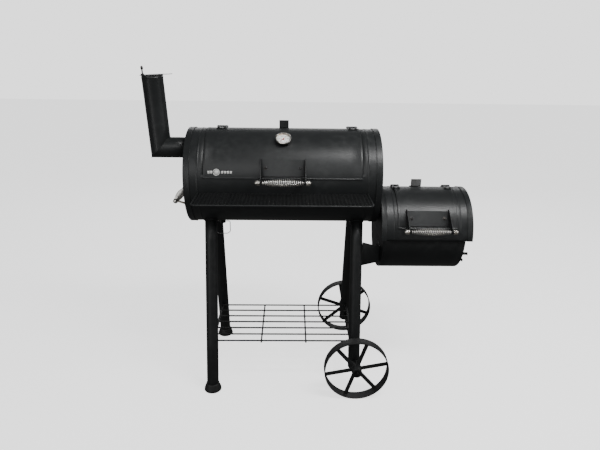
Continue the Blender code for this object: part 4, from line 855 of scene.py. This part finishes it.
def make_gauge(radius):
    """Case, bezel, dial with its scale, domed glass, stem and needle."""
    small = Matrix.Diagonal((0.9, 0.9, 1.0, 1.0))
    place = on_drum(radius, GAUGE_DEG, 0.0, CZ) @ small
    case = [(0.0, 0.0012), (0.024, 0.0012), (0.031, 0.0020), (0.0342, 0.0042), (0.0350, 0.0075),
            (0.0350, 0.0150),
            (0.0334, 0.0150), (0.0330, 0.0104), (0.0, 0.0102)]
    piece("gauge_case", turned(case, 72, place), "chamber_door", DARK_BOLT_AND_SHADE,
          ["thermometer_case"])
    bezel = [(0.0318, 0.0158), (0.0312, 0.0176), (0.0322, 0.0192), (0.0342, 0.0196), (0.0357, 0.0184),
             (0.0362, 0.0162), (0.0359, 0.0132), (0.0349, 0.0124), (0.0334, 0.0126), (0.0318, 0.0158)]
    piece("gauge_bezel", turned(bezel, 96, place), "chamber_door", CHROME)
    stem = [(0.0, -0.054), (0.0024, -0.054), (0.0030, -0.052), (0.0030, -0.014), (0.0052, -0.0135),
            (0.0052, -0.0045), (0.0, -0.0045)]
    form = turned(stem, 24, place)
    form.add(hex_head(on_drum(radius - 0.0028, GAUGE_DEG, 0.0, CZ) @ Matrix.Rotation(math.pi, 4, "X"),
                      0.016, 0.006,
                      0.003))
    piece("gauge_stem", form, "chamber_door", ZINC)
    piece("gauge_dial", turned([(0.0, 0.0106), (0.0326, 0.0106), (0.0330, 0.0112)], 72, place),
          "chamber_door",
          WHITE_DIAL, (), 0.0)
    ink, amber = Form(), Form()
    for k in range(51):
        degrees = 225.0 - 270.0 * k / 50
        long = k % 5 == 0
        half = 0.75 if long else 0.40
        ink.add(arc_blade(0.0243 if long else 0.0262, 0.0290, degrees - half, degrees + half, 0.01085))
    for k, text in enumerate(("0", "50", "100", "150", "200", "250", "300", "350", "400", "450", "500")):
        if set(text) <= set(SEGMENTS) and k % 2 == 0:
            degrees = math.radians(225.0 - 27.0 * k)
            ink.add(numeral(text, 0.0190 * math.cos(degrees), 0.0190 * math.sin(degrees), 0.0034, 0.01085))
    ink.add(arc_blade(0.0294, 0.0299, -45.0, 225.0, 0.01085, 60))
    amber.add(arc_blade(0.0303, 0.0318, 40.0, 130.0, 0.01085, 30))
    piece("gauge_scale", ink.moved(place), "chamber_door", DIAL_INK)
    piece("gauge_zone", amber.moved(place), "chamber_door", DIAL_AMBER)
    glass = [(0.0, 0.0186), (0.012, 0.0183), (0.022, 0.0176), (0.0300, 0.0166), (0.0322, 0.0162),
             (0.0322, 0.0150),
             (0.0300, 0.0154), (0.022, 0.0164), (0.012, 0.0171), (0.0, 0.0174)]
    cover = piece("gauge_cover", turned(glass, 72, place), "chamber_door", GLASS,
                  ["thermometer_glass"])
    cover.visible_shadow = False
    turn = place @ Matrix.Rotation(math.radians(-140.0), 4, "Z")
    blade = [(-0.0085, -0.0011), (-0.0065, -0.0016), (0.0, -0.0014), (0.020, -0.0006), (0.0245, 0.0),
             (0.020, 0.0006),
             (0.0, 0.0014), (-0.0065, 0.0016), (-0.0085, 0.0011)]
    needle = slab(blade, "Z", 0.0130, 0.0138, 0.0002)
    needle.add(turned([(0.0, 0.0150), (0.0018, 0.0148), (0.0030, 0.0140), (0.0030, 0.0109), (0.0, 0.0109)],
                      24))
    piece("gauge_needle", needle.moved(turn), "needle", NEEDLE_RED, ["thermometer_needle"])


def make_badge(radius):
    """A pale generic mark low on the lid: a ringed disc, with two tiles before it and four after."""
    height = 0.00045
    form = Form()

    def mark(x_from, x_to, low, high):
        xs = np.linspace(x_from, x_to, 4)
        drum_grid(radius + height, np.linspace(low, high, 3), xs, CZ, form)

    t = np.linspace(0.0, TAU, 41)
    for inner, outer in ((0.0112, 0.0138), (0.0, 0.0100)):
        rows = []
        for r in (inner, outer):
            degrees = 15.8 + np.degrees(r * np.sin(t) / radius)
            yz = drum_point(radius + height, degrees, CZ)
            rows.append(np.concatenate([(-0.2705 + r * np.cos(t))[:, None], yz], 1))
        form.grid(np.stack(rows, 0))
    for k in range(2):
        mark(-0.3060 + 0.0105 * k, -0.2975 + 0.0105 * k, 13.9, 17.3)
    for k in range(4):
        mark(-0.2510 + 0.0115 * k, -0.2425 + 0.0115 * k, 14.2, 17.2)
    piece("lid_badge", form, "chamber_door", WHITE_DIAL, (), -0.0003)


# ---------------------------------------------------------------- smokestack and its damper
def make_stack():
    """A mitred pipe: rings square to each run, and one on the mitre plane; a rolled mouth; a flange."""
    lean = math.radians(3.0)
    elbow = np.array([-CHAMBER_HALF - 0.1253, 0.0, ELBOW_Z])
    up = np.array([-math.sin(lean), 0.0, math.cos(lean)])
    top = elbow + up * 0.3025 / math.cos(lean)
    t = np.arange(72) * TAU / 72
    first, second = np.array([-1.0, 0.0, 0.0]), up
    plane = first + second

    def ring(centre, ahead, radius, cut=None):
        side = np.array([0.0, 1.0, 0.0])
        lift = np.cross(ahead, side)
        points = radius * (np.cos(t)[:, None] * side + np.sin(t)[:, None] * lift)
        if cut is not None:
            points = points - ahead * ((points @ cut) / (ahead @ cut))[:, None]
        return centre + points

    start = np.array([-CHAMBER_HALF + 0.008, 0.0, elbow[2]])
    rings = [ring(start, first, PIPE_R), ring(elbow - first * 0.062, first, PIPE_R),
             ring(elbow - first * 0.004, first, PIPE_R, plane),
             ring(elbow - first * 0.0008, first, PIPE_R, plane),
             ring(elbow + second * 0.0008, second, PIPE_R, plane),
             ring(elbow + second * 0.004, second, PIPE_R, plane),
             ring(elbow + second * 0.062, second, PIPE_R)]
    for back, out in ((0.0130, 0.0), (0.0115, 0.0005), (0.0095, 0.0012), (0.0075, 0.0005), (0.006, 0.0),
                      (0.0006, 0.0), (0.0, -0.0005)):
        rings.append(ring(top - second * back, second, PIPE_R + out))
    form = Form()
    form.grid(np.array(rings), along=True)
    piece("stack_pipe", form, "smoker", PAINT, ["smokestack"], 0.0020)
    seam = ring(elbow, first, PIPE_R + 0.0002, plane)
    fine = np.concatenate([seam[k] + (seam[(k + 1) % 72] - seam[k]) * np.linspace(0, 1, 5)[:-1, None]
                           for k in range(72)])
    piece("stack_seam", swept(fine, 0.0013 * (1 + 0.15 * np.sin(np.arange(len(fine)) * 2.3)), 8,
                              (0.3, 0.2, 0.9),
                              True), "smoker", PAINT)
    collar = [(PIPE_R + 0.0002, 0.0), (PIPE_R + 0.0105, 0.0), (PIPE_R + 0.0110, 0.0010),
              (PIPE_R + 0.0105, 0.0022),
              (PIPE_R + 0.0040, 0.0026), (PIPE_R + 0.0016, 0.0040), (PIPE_R + 0.0002, 0.0046),
              (PIPE_R + 0.0002, 0.0)]
    place = stand((-CHAMBER_HALF, 0.0, elbow[2]), (-1.0, 0.0, 0.0), (0.0, 1.0, 0.0))
    piece("stack_collar", turned(collar, 72, place), "smoker", PAINT)
    place = stand(top, up, (math.cos(lean), 0.0, math.sin(lean)))
    reach_in = (PIPE_R - 0.0020) * math.cos(math.pi / 40) - 0.0033
    shift = Matrix.Translation((-reach_in, 0.0, 0.0))
    stud = [(0.0, -0.0300), (0.0026, -0.0300), (0.0030, -0.0294), (0.0030, 0.0235), (0.0042, 0.0243),
            (0.0054, 0.0262), (0.0057, 0.0290), (0.0054, 0.0330), (0.0042, 0.0362), (0.0022, 0.0384), (0.0,
                    0.0390)]
    piece("damper_post", turned(stud, 28, place @ shift), "smoker", DARK_BOLT_AND_SHADE, ["damper_stud"])
    low, high = 0.0004, 0.0019
    t = np.radians(np.linspace(13.0, 347.0, 80))
    disc = (PIPE_R + 0.006) * np.stack([np.cos(t), np.sin(t)], -1)
    tab = eased([disc[-1], (PIPE_R + 0.040, -0.011), (PIPE_R + 0.040, 0.011), disc[0]], 0.006)[1:-1]
    flap = slab(np.concatenate([disc, tab]), "Z", low, high, 0.0004)
    piece("damper_plate", flap.moved(place), "damper", PAINT, ["damper_flap"])
    nut = hex_head(place @ Matrix.Translation((-reach_in, 0.0, high + 0.0004)), 0.0120, 0.0050, 0.0032)
    piece("damper_nut", nut, "smoker", DARK_BOLT_AND_SHADE)


# ---------------------------------------------------------------- shelf
SHELF_Z = 0.914


def make_shelf():
    """A wire-edged shelf of expanded metal on two bent brackets."""
    low, high = span("shelf_frame")
    edge_r, corner, half = 0.0038, 0.024, 0.353 - 0.0038
    front = low[1] + edge_r
    back = high[1] - edge_r
    path = [(-half, back, SHELF_Z), (-half, front, SHELF_Z), (half, front, SHELF_Z), (half, back, SHELF_Z)]
    form = swept(eased(path, corner, 10), edge_r, 14)
    form.add(round_rod((-half - 0.002, back, SHELF_Z), (half + 0.002, back, SHELF_Z), edge_r - 0.0002, 14))
    under = SHELF_Z - 0.0015
    slope = math.degrees(math.asin((under - 0.003 - CZ) / CR))
    for x in (-0.200, 0.200):
        bar = [(x - 0.010, front - 0.001), (x + 0.010, front - 0.001), (x + 0.010, back + 0.001),
               (x - 0.010, back + 0.001)]
        form.add(slab(bar, "Z", under - 0.003, under, 0.0005))
        arc = arc_path(CR + 0.0004, -26.0, slope, CZ, 10)
        brace = [*arc, (arc[-1][0] - 0.006, under - 0.002), (arc[-1][0] - 0.085, under - 0.002),
                 (arc[-1][0] - 0.085, under - 0.008)]
        form.add(slab(brace, "X", x - 0.0013, x + 0.0013, 0.0004))
        foot = ribbon(arc_path(CR + 0.0004, -25.0, slope - 1.0, CZ, 10), -0.0022)
        form.add(slab(foot, "X", x - 0.013, x + 0.013, 0.0005))
    for x in (-half, half):
        form.add(weld([(x + 0.004 * k, back + 0.003, SHELF_Z + 0.0015) for k in np.linspace(-1, 1, 14)],
                      0.0024))
    piece("shelf_rim", form, "smoker", PAINT, ["shelf_frame"])
    make_expanded_metal(-half + 0.002, half - 0.002, front + 0.002, back - 0.002)


def make_expanded_metal(x0, x1, y0, y1):
    """Strands of expanded metal: each zigzags across its row and meets the next at the knots."""
    long, short = 0.0300, 0.0125
    rows = int(round((y1 - y0) / short * 2))
    pitch = (y1 - y0) / rows
    count = int(round((x1 - x0) / long * 2))
    step = (x1 - x0) / count
    strand, thick = 0.0026, 0.0009
    form = Form()
    for row in range(rows):
        knots = np.arange(count + 1)
        x = x0 + knots * step
        sway = np.where((knots + row) % 2 == 0, -0.5, 0.5) * (pitch - strand * 0.55)
        xs = np.repeat(x, 2)[1:-1].reshape(-1)
        ys = np.repeat(y0 + (row + 0.5) * pitch + sway, 2)[1:-1]
        flat = 0.0030
        xs = xs + np.tile([flat, -flat], count)
        tilt = np.where(np.repeat((knots + row) % 2 == 0, 2)[1:-1], -1.0, 1.0) * 0.0007
        centre = np.stack([xs, ys, SHELF_Z + tilt], -1)
        ahead = np.gradient(centre, axis=0)
        ahead /= np.linalg.norm(ahead, axis=1)[:, None]
        side = np.stack([-ahead[:, 1], ahead[:, 0], np.zeros(len(ahead))], -1) * strand / 2
        up = np.array([0.0, 0.0, thick])
        corners = [centre - side - up, centre + side - up, centre + side + up, centre - side + up]
        form.grid(np.stack(corners, 0), around=True)
    piece("shelf_expanded", form, "smoker", PAINT_LOW, ["shelf_mesh"], 0.0, 20.0)


# ---------------------------------------------------------------- stand, rack, axle and wheels
LEG_R = 0.0263
LEG_SLOPE = 0.1625 / 0.775


def leg_y(z):
    """How far a leg's centre stands from the middle at a height."""
    return 0.2497 - LEG_SLOPE * z


def make_stand():
    """Splayed tube legs that end on the drum's saddles, feet on the left, an axle on the right."""
    seat = CR + 0.0040
    t = np.arange(40) * TAU / 40
    tilt = math.sqrt(1 + LEG_SLOPE ** 2)
    for hand in ("left", "right"):
        low, high = span("leg_front_" + hand)
        x = (low[0] + high[0]) / 2
        for side, word in ((-1, "front"), (1, "rear")):
            def ring(z, radius=LEG_R):
                mid = side * leg_y(z)
                return np.stack([x + radius * np.cos(t), mid + radius * tilt * np.sin(t),
                                 np.broadcast_to(z, t.shape)], -1)

            z = np.full(40, CZ - 0.15)
            for _ in range(30):
                y = side * leg_y(z) + LEG_R * tilt * np.sin(t)
                z = CZ - np.sqrt(seat ** 2 - y ** 2)
            z = np.minimum(z, CZ - 0.1458)
            rings = [ring(low[2], LEG_R - 0.0008), ring(low[2] + 0.0005, LEG_R - 0.0002),
                     ring(low[2] + 0.0010)]
            rings += [ring(low[2] + s * (0.68 - low[2])) for s in (0.33, 0.66, 1.0)]
            rings.append(ring(z))
            form = Form()
            form.grid(np.array(rings), along=True)
            piece("tube_" + word + "_" + hand, form, "smoker", PAINT_LOW,
                  ["leg_" + word + "_" + hand], 0.0019)
            bead_path = ring(z + 0.0004, LEG_R + 0.0008)
            fine = np.concatenate([bead_path[k] + (bead_path[(k + 1) % 40] - bead_path[k])
                                   * np.linspace(0, 1, 5)[:-1, None] for k in range(40)])
            ripple = 0.0019 * (1 + 0.18 * np.sin(np.arange(len(fine)) * 1.9 + side))
            piece("weld_" + word + "_" + hand, swept(fine, ripple, 8, (0.3, 0.2, 0.9), True), "smoker",
                  PAINT_LOW)
        arc = arc_path(CR + 0.0004, -124.0, -56.0, CZ, 30)
        mid = span("leg_saddle_" + hand)
        x = (mid[0][0] + mid[1][0]) / 2
        saddle = slab(ribbon(arc, -0.0030), "X", x - 0.024, x + 0.024, 0.0006)
        piece("saddle_" + hand, saddle, "smoker", PAINT_LOW, ["leg_saddle_" + hand])
    for word in ("front", "rear"):
        low, high = span("foot_" + word + "_left")
        middle = (low + high) / 2
        dome = [(0.0, 0.0), (0.0350, 0.0), (0.0374, 0.0006), (0.0383, 0.0022), (0.0384, 0.0050),
                (0.0380, 0.0085),
                (0.0366, 0.0130), (0.0344, 0.0190), (0.0322, 0.0250), (0.0300, 0.0315), (0.0290, 0.0342),
                (0.0280, 0.0350), (0.0, 0.0350)]
        piece("foot_cap_" + word, turned(dome, 64, Matrix.Translation((middle[0], middle[1], 0.0))), "smoker",
              IRON, ["foot_" + word + "_left"])


def make_rack():
    """Seven wires welded over two cross wires, between end bars welded to the legs."""
    high = span("bottom_rack")[1]
    z = 0.2054
    left, right, reach_y = -0.317, 0.3232, high[1]
    form = Form()
    for x in (left, right):
        form.add(swept([(x, -reach_y, z), (x, reach_y, z)], 0.0055, 18))
    over = z + 0.00275
    for k in range(7):
        y = 0.0578 * (k - 3)
        form.add(round_rod((left - 0.004, y, over), (right + 0.004, y, over), 0.0037, 14))
        for x in (left, right):
            form.add(weld([(x + 0.006 * s, y + 0.003, over) for s in np.linspace(-1, 1, 12)], 0.0013, y))
    for x in (-0.0987, 0.1055):
        form.add(round_rod((x, -0.1794, over - 0.0053), (x, 0.1794, over - 0.0053), 0.0037, 14))
    piece("rack_wires", form, "smoker", PAINT_LOW, ["bottom_rack"])


def make_wheel(node, degrees, body):
    """A flat band with rolled edges, three bars crossing in the hub, welds and a hub."""
    low, high = span(node)
    centre = (low + high) / 2
    radius = (high[2] - low[2]) / 2
    place = stand((centre[0], centre[1], radius), (0.0, 1.0, 0.0))
    half, inner = 0.0225, radius - 0.005
    band = [(inner + 0.0006, -half), (radius - 0.0018, -half), (radius - 0.0005, 0.0006 - half),
            (radius, 0.0020 - half), (radius, half - 0.0020), (radius - 0.0005, half - 0.0006),
            (radius - 0.0018, half), (inner + 0.0006, half), (inner, half - 0.0008), (inner, 0.0008 - half),
            (inner + 0.0006, -half)]
    form = turned(band, 128, place)
    hub = [(0.0088, -0.0360), (0.0208, -0.0360), (0.0222, -0.0350), (0.0225, -0.0335), (0.0225, 0.0335),
           (0.0222, 0.0350), (0.0208, 0.0360), (0.0088, 0.0360), (0.0088, -0.0360)]
    form.add(turned(hub, 56, place))
    for k in range(6):
        t = math.radians(degrees + 60.0 * k)
        along, across = np.array([math.cos(t), math.sin(t)]), np.array([-math.sin(t), math.cos(t)])
        ends = [0.0200 * along - 0.0085 * across, (inner + 0.0006) * along - 0.0085 * across,
                (inner + 0.0006) * along + 0.0085 * across, 0.0200 * along + 0.0085 * across]
        outline = [(centre[0] + e[0], radius + e[1]) for e in ends]
        form.add(slab(outline, "Y", centre[1] - 0.0025, centre[1] + 0.0025, 0.0006))
        for s in (-1, 1):
            for r in (inner - 0.0004, 0.0231):
                arc = np.linspace(-0.0085, 0.0085, 34)
                fold = t + arc / r
                weld_path = np.stack([centre[0] + r * np.cos(fold), np.full(34, centre[1] + s * 0.0030),
                                      radius + r * np.sin(fold)], -1)
                form.add(weld(weld_path, 0.0019, k + s))
    piece(node + "_iron", form, body, IRON, [node])


def make_axle():
    """A plain bar with a washer and a split pin at each end."""
    low, high = span("axle")
    x, z = (low[0] + high[0]) / 2, (low[2] + high[2]) / 2
    form = round_rod((x, low[1], z), (x, high[1], z), 0.0080, 28, (0.0, 0.0, 1.0), 0.2)
    for s in (-1, 1):
        y = s * (abs(low[1]) - 0.0072)
        form.add(turned([(0.0082, 0.0), (0.0150, 0.0), (0.0152, 0.0016), (0.0082, 0.0018)], 32,
                        stand((x, y, z), (0.0, s, 0.0))))
        wire = [(x - 0.0105, y + s * 0.0040, z + 0.003), (x - 0.0085, y + s * 0.0040, z + 0.001),
                (x + 0.0100, y + s * 0.0040, z), (x + 0.0125, y + s * 0.0046, z - 0.004)]
        form.add(swept(eased(wire, 0.002), 0.0011, 10))
    piece("axle_bar", form, "smoker", DARK_BOLT_AND_SHADE, ["axle"])


# ---------------------------------------------------------------- inner grates, vent, bracket, drain
def make_grates():
    """Round bars welded on cross bars; the ledge frame and the coal grate of cast bars."""
    for node in ("cooking_grate_left", "cooking_grate_right"):
        low, high = span(node)
        r = 0.0028
        form = Form()
        for t in (0.04, 0.5, 0.96):
            y = low[1] + t * (high[1] - low[1])
            form.add(round_rod((low[0], y, low[2] + r), (high[0], y, low[2] + r), r, 10))
        for k in range(10):
            x = low[0] + r + (high[0] - low[0] - 2 * r) * (k + 0.5) / 10
            form.add(round_rod((x, low[1], high[2] - r), (x, high[1], high[2] - r), r, 10))
        piece(node + "_bars", form, "smoker", ZINC, [node])
    low, high = span("charcoal_grate")
    r = 0.0045
    form = Form()
    for t in (0.04, 0.5, 0.96):
        x = low[0] + t * (high[0] - low[0])
        form.add(round_rod((x, low[1], low[2] + r), (x, high[1], low[2] + r), r, 12))
    for k in range(7):
        y = low[1] + r + (high[1] - low[1] - 2 * r) * (k + 0.5) / 7
        form.add(round_rod((low[0], y, high[2] - r), (high[0], y, high[2] - r), r, 12))
    piece("coal_grate_bars", form, "smoker", COAL_IRON, ["charcoal_grate"])


def make_vent():
    """The air inlet: two folded rails round a slide with a bent tab."""
    low, high = span("vent_guide")
    form = Form()
    face, out, mid = low[0], high[0], (low[2] + high[2]) / 2
    for s in (-1, 1):
        z_in, z_out = mid + s * 0.0235, mid + s * 0.0290
        profile = [(face, z_out), (out, z_out), (out, mid + s * 0.0185), (out - 0.0014, mid + s * 0.0185),
                   (out - 0.0014, z_in), (face, z_in)]
        outline = np.array(profile)
        rings = []
        for y, depth in ((low[1], 0.0004), (low[1] + 0.0004, 0.0), (high[1] - 0.0004, 0.0),
                         (high[1], 0.0004)):
            flat = inset(outline, depth)
            rings.append(np.stack([flat[:, 0], np.full(len(flat), y), flat[:, 1]], -1))
        form.stack(np.array(rings))
        for y in (low[1] + 0.006, high[1] - 0.006):
            form.add(pan_head(stand((out, y, mid + s * 0.0238), (1.0, 0.0, 0.0), (0.0, 1.0, 0.0)), 0.0024,
                              0.0012))
    piece("vent_rails", form, "smoker", PAINT, ["vent_guide"])
    low, high = span("vent_slide")
    face = low[0]
    plate = [(low[1], low[2]), (high[1], low[2]), (high[1], high[2]), (low[1], high[2])]
    slide = slab(eased_loop(plate, 0.004), "X", face, face + 0.0019, 0.0004)
    y = low[1] + 0.016
    tab = eased([(y + 0.016, face + 0.0020), (y, face + 0.0020), (y, high[0] - 0.001),
                 (y - 0.0062, high[0] - 0.0022)], 0.004)
    strip = ribbon(tab, -0.0020)
    rings = []
    for z, depth in ((mid - 0.0065, 0.0004), (mid - 0.0061, 0.0), (mid + 0.0061, 0.0),
                     (mid + 0.0065, 0.0004)):
        flat = inset(strip, depth)
        rings.append(np.stack([flat[:, 1], flat[:, 0], np.full(len(flat), z)], -1))
    slide.stack(np.array(rings))
    slide.add(pan_head(stand((face + 0.0038, y + 0.011, mid), (1.0, 0.0, 0.0), (0.0, 1.0, 0.0)), 0.0026,
                       0.0016))
    piece("vent_plate", slide, "vent", PAINT, ["vent_slide"])


def make_support():
    """The firebox bracket: a flared web with a folded flange, two bolts and a weld at the leg."""
    low, high = span("firebox_support")
    left, right = low[0], high[0]
    z0, z1 = FZ - 0.124, FZ - 0.050
    y = -leg_y((z0 + z1) / 2)
    web = [(left, z0 - 0.018), (right - 0.006, z0), (right - 0.001, z0 + 0.003), (right - 0.001, z1 - 0.003),
           (right - 0.006, z1), (left, z1 + 0.018)]
    form = slab(web, "Y", y - 0.0019, y + 0.0019, 0.0006)
    flange = [(y - 0.0019, z0), (high[1], z0), (high[1], z1), (y - 0.0019, z1)]
    form.add(slab(eased_loop(flange, 0.004), "X", right - 0.0040, right, 0.0006))
    form.add(weld([(left + 0.0004, y - 0.0030, z) for z in np.linspace(z0 - 0.014, z1 + 0.014, 120)], 0.0022))
    for z in (z0 + 0.018, z1 - 0.018):
        form.add(hex_head(stand((right - 0.0040, y + 0.060, z), (-1.0, 0.0, 0.0), (0.0, 1.0, 0.0)), 0.012,
                          0.005))
    piece("support_bracket", form, "smoker", PAINT_LOW, ["firebox_support"])


def make_drain():
    """The grease spout with a weld at its root, and the wire loop that holds a can."""
    low, high = span("drain_spout")
    x = (low[0] + high[0]) / 2
    profile = [(0.0113, high[2]), (0.0130, high[2]), (0.0130, low[2] + 0.0006), (0.0124, low[2]),
               (0.0116, low[2]),
               (0.0113, low[2] + 0.0006), (0.0113, high[2])]
    form = turned(profile, 40, Matrix.Translation((x, 0.0, 0.0)))
    t = np.linspace(0.0, TAU, 120, endpoint=False)
    ring = np.stack([x + 0.0138 * np.cos(t), 0.0138 * np.sin(t), np.full(120, CZ - CR - 0.0004)], -1)
    form.add(swept(ring, 0.0016 * (1 + 0.15 * np.sin(np.arange(120) * 1.7)), 8, (0.3, 0.2, 0.9), True))
    piece("drain_pipe", form, "smoker", PAINT_LOW, ["drain_spout"])
    low, high = span("drip_hanger")
    axis_z = high[2] - 0.0016
    foot = low[2] + 0.0016
    path = [(0.0120, axis_z), (0.0330, axis_z), (0.0330, foot + 0.010), (0.0210, foot)]
    loop = [(x - a, 0.0, z) for a, z in path] + [(x + a, 0.0, z) for a, z in path[::-1]]
    piece("drain_hanger", swept(eased(loop, 0.006, 6), 0.0016, 12, (0.0, 1.0, 0.0)), "hanger",
          ZINC,
          ["drip_hanger"])


# ---------------------------------------------------------------- the object
make_chamber()
door_sheet("chamber_lid_sheet", 0.0, LID_HALF, LID_R, LID_FROM, CZ, "chamber_lid", "chamber_door")
make_firebox()
door_sheet("firebox_lid_sheet", FLID_MID, FLID_HALF, FLID_R, FLID_FROM, FZ, "firebox_lid", "firebox_door")
for word in ("left", "right"):
    make_hinge("chamber_hinge_" + word, CR, CZ, "chamber_door")
    make_hinge("firebox_hinge_" + word, FR, FZ, "firebox_door")
make_stop("chamber_stop", CR, CZ, "chamber_lid_stop", PAINT)
# The firebox strap's grey finish is a painted reflection; the chamber's strap keeps the black paint.
make_stop("firebox_stop", FR, FZ, "firebox_lid_stop", PAINTED_SHEEN_STEEL)
make_door_handle("chamber_handle", 0.0, CR, CZ, LID_FROM, "chamber_door")
make_door_handle("firebox_handle", FLID_MID, FR, FZ, FLID_FROM, "firebox_door")
make_side_handle()
make_gauge(CR + 0.0035)
make_badge(LID_R)
make_stack()
make_shelf()
make_stand()
make_rack()
make_wheel("front_wheel", 11.5, "front_wheel_body")
make_wheel("rear_wheel", 41.0, "rear_wheel_body")
make_axle()
make_grates()
make_vent()
make_support()
make_drain()
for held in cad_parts["grate_frame"].material_slots:
    held.link = "OBJECT"
    held.material = ZINC


# ---------------------------------------------------------------- floor, light and camera
def make_stage():
    """A wide pale floor under soft studio light, seen against white."""
    mesh = bpy.data.meshes.new("floor")
    size = 12.0
    mesh.from_pydata([(-size, -size, -0.0005), (size, -size, -0.0005), (size, size, -0.0005),
                      (-size, size, -0.0005)],
                     [], [(0, 1, 2, 3)])
    floor = bpy.data.objects.new("floor", mesh)
    bpy.context.collection.objects.link(floor)
    pale = Finish("floor_white", base_color=(0.90, 0.90, 0.90, 1.0), roughness=0.9,
                  emission_color=(1.0, 1.0, 1.0, 1.0), emission_strength=1.50)
    mesh.materials.append(pale.material)
    floor.visible_glossy = False
    floor.visible_diffuse = False


def make_light(name, place, aim, size, power, tall=None):
    """One rectangular softbox aimed at a point."""
    lamp = bpy.data.lights.new(name, "AREA")
    lamp.shape = "RECTANGLE"
    lamp.size = size
    lamp.size_y = tall or size
    lamp.energy = power
    made = bpy.data.objects.new(name, lamp)
    spot = Vector(place) + Vector(PLACE)
    made.matrix_world = stand(spot, spot - (Vector(aim) + Vector(PLACE)))
    bpy.context.collection.objects.link(made)


def make_world():
    """White behind the object; for its light and reflections, grey above and dark below."""
    world = bpy.data.worlds.new("studio")
    world.use_nodes = True
    tree = world.node_tree
    tree.nodes.clear()
    out = tree.nodes.new("ShaderNodeOutputWorld")
    mix = tree.nodes.new("ShaderNodeMixShader")
    seen, cast = tree.nodes.new("ShaderNodeBackground"), tree.nodes.new("ShaderNodeBackground")
    ray = tree.nodes.new("ShaderNodeLightPath")
    place = tree.nodes.new("ShaderNodeTexCoord")
    split = tree.nodes.new("ShaderNodeSeparateXYZ")
    ramp = tree.nodes.new("ShaderNodeValToRGB")
    half = tree.nodes.new("ShaderNodeMapRange")
    half.inputs["From Min"].default_value = -1.0
    seen.inputs["Color"].default_value = (1.0, 1.0, 1.0, 1.0)
    seen.inputs["Strength"].default_value = 1.9
    cast.inputs["Strength"].default_value = 1.0
    stops = ramp.color_ramp.elements
    stops[0].position, stops[0].color = 0.42, (0.085, 0.085, 0.085, 1.0)
    stops[1].position, stops[1].color = 1.0, (0.15, 0.155, 0.16, 1.0)
    middle = stops.new(0.56)
    middle.color = (0.19, 0.195, 0.20, 1.0)
    tree.links.new(place.outputs["Generated"], split.inputs[0])
    tree.links.new(split.outputs["Z"], half.inputs["Value"])
    tree.links.new(half.outputs["Result"], ramp.inputs["Fac"])
    tree.links.new(ramp.outputs["Color"], cast.inputs["Color"])
    tree.links.new(ray.outputs["Is Camera Ray"], mix.inputs[0])
    tree.links.new(cast.outputs[0], mix.inputs[1])
    tree.links.new(seen.outputs[0], mix.inputs[2])
    tree.links.new(mix.outputs[0], out.inputs["Surface"])
    bpy.context.scene.world = world


def make_camera():
    """The view from in front and a little above."""
    lens = bpy.data.cameras.new("view")
    lens.lens = 31.83
    lens.sensor_width = 36.0
    made = bpy.data.objects.new("view", lens)
    place = Matrix.Translation((PLACE[0] + 0.0314, PLACE[1] - 2.2999, 1.5047))
    turn = Matrix.Rotation(-0.0189, 4, "Z") @ Matrix.Rotation(math.pi / 2 - 0.3328, 4, "X")
    made.matrix_world = place @ turn @ Matrix.Rotation(0.0133, 4, "Z")
    bpy.context.collection.objects.link(made)
    bpy.context.scene.camera = made


make_stage()
make_world()
make_light("key", (1.15, -1.15, 3.0), (0.3, 0.0, 0.9), 1.5, 46.0, 0.40)
make_light("fill", (-0.6, -3.2, 2.6), (-0.1, 0.0, 0.9), 2.6, 22.0, 1.6)
make_light("rim", (0.4, 3.0, 1.9), (0.2, 0.0, 1.0), 4.0, 21.0, 0.8)
make_light("left", (-2.3, -2.5, 1.25), (-0.4, 0.0, 0.85), 0.8, 13.0, 2.3)
make_light("right", (2.8, -0.9, 1.6), (0.4, 0.0, 0.85), 1.4, 12, 1.4)
make_camera()
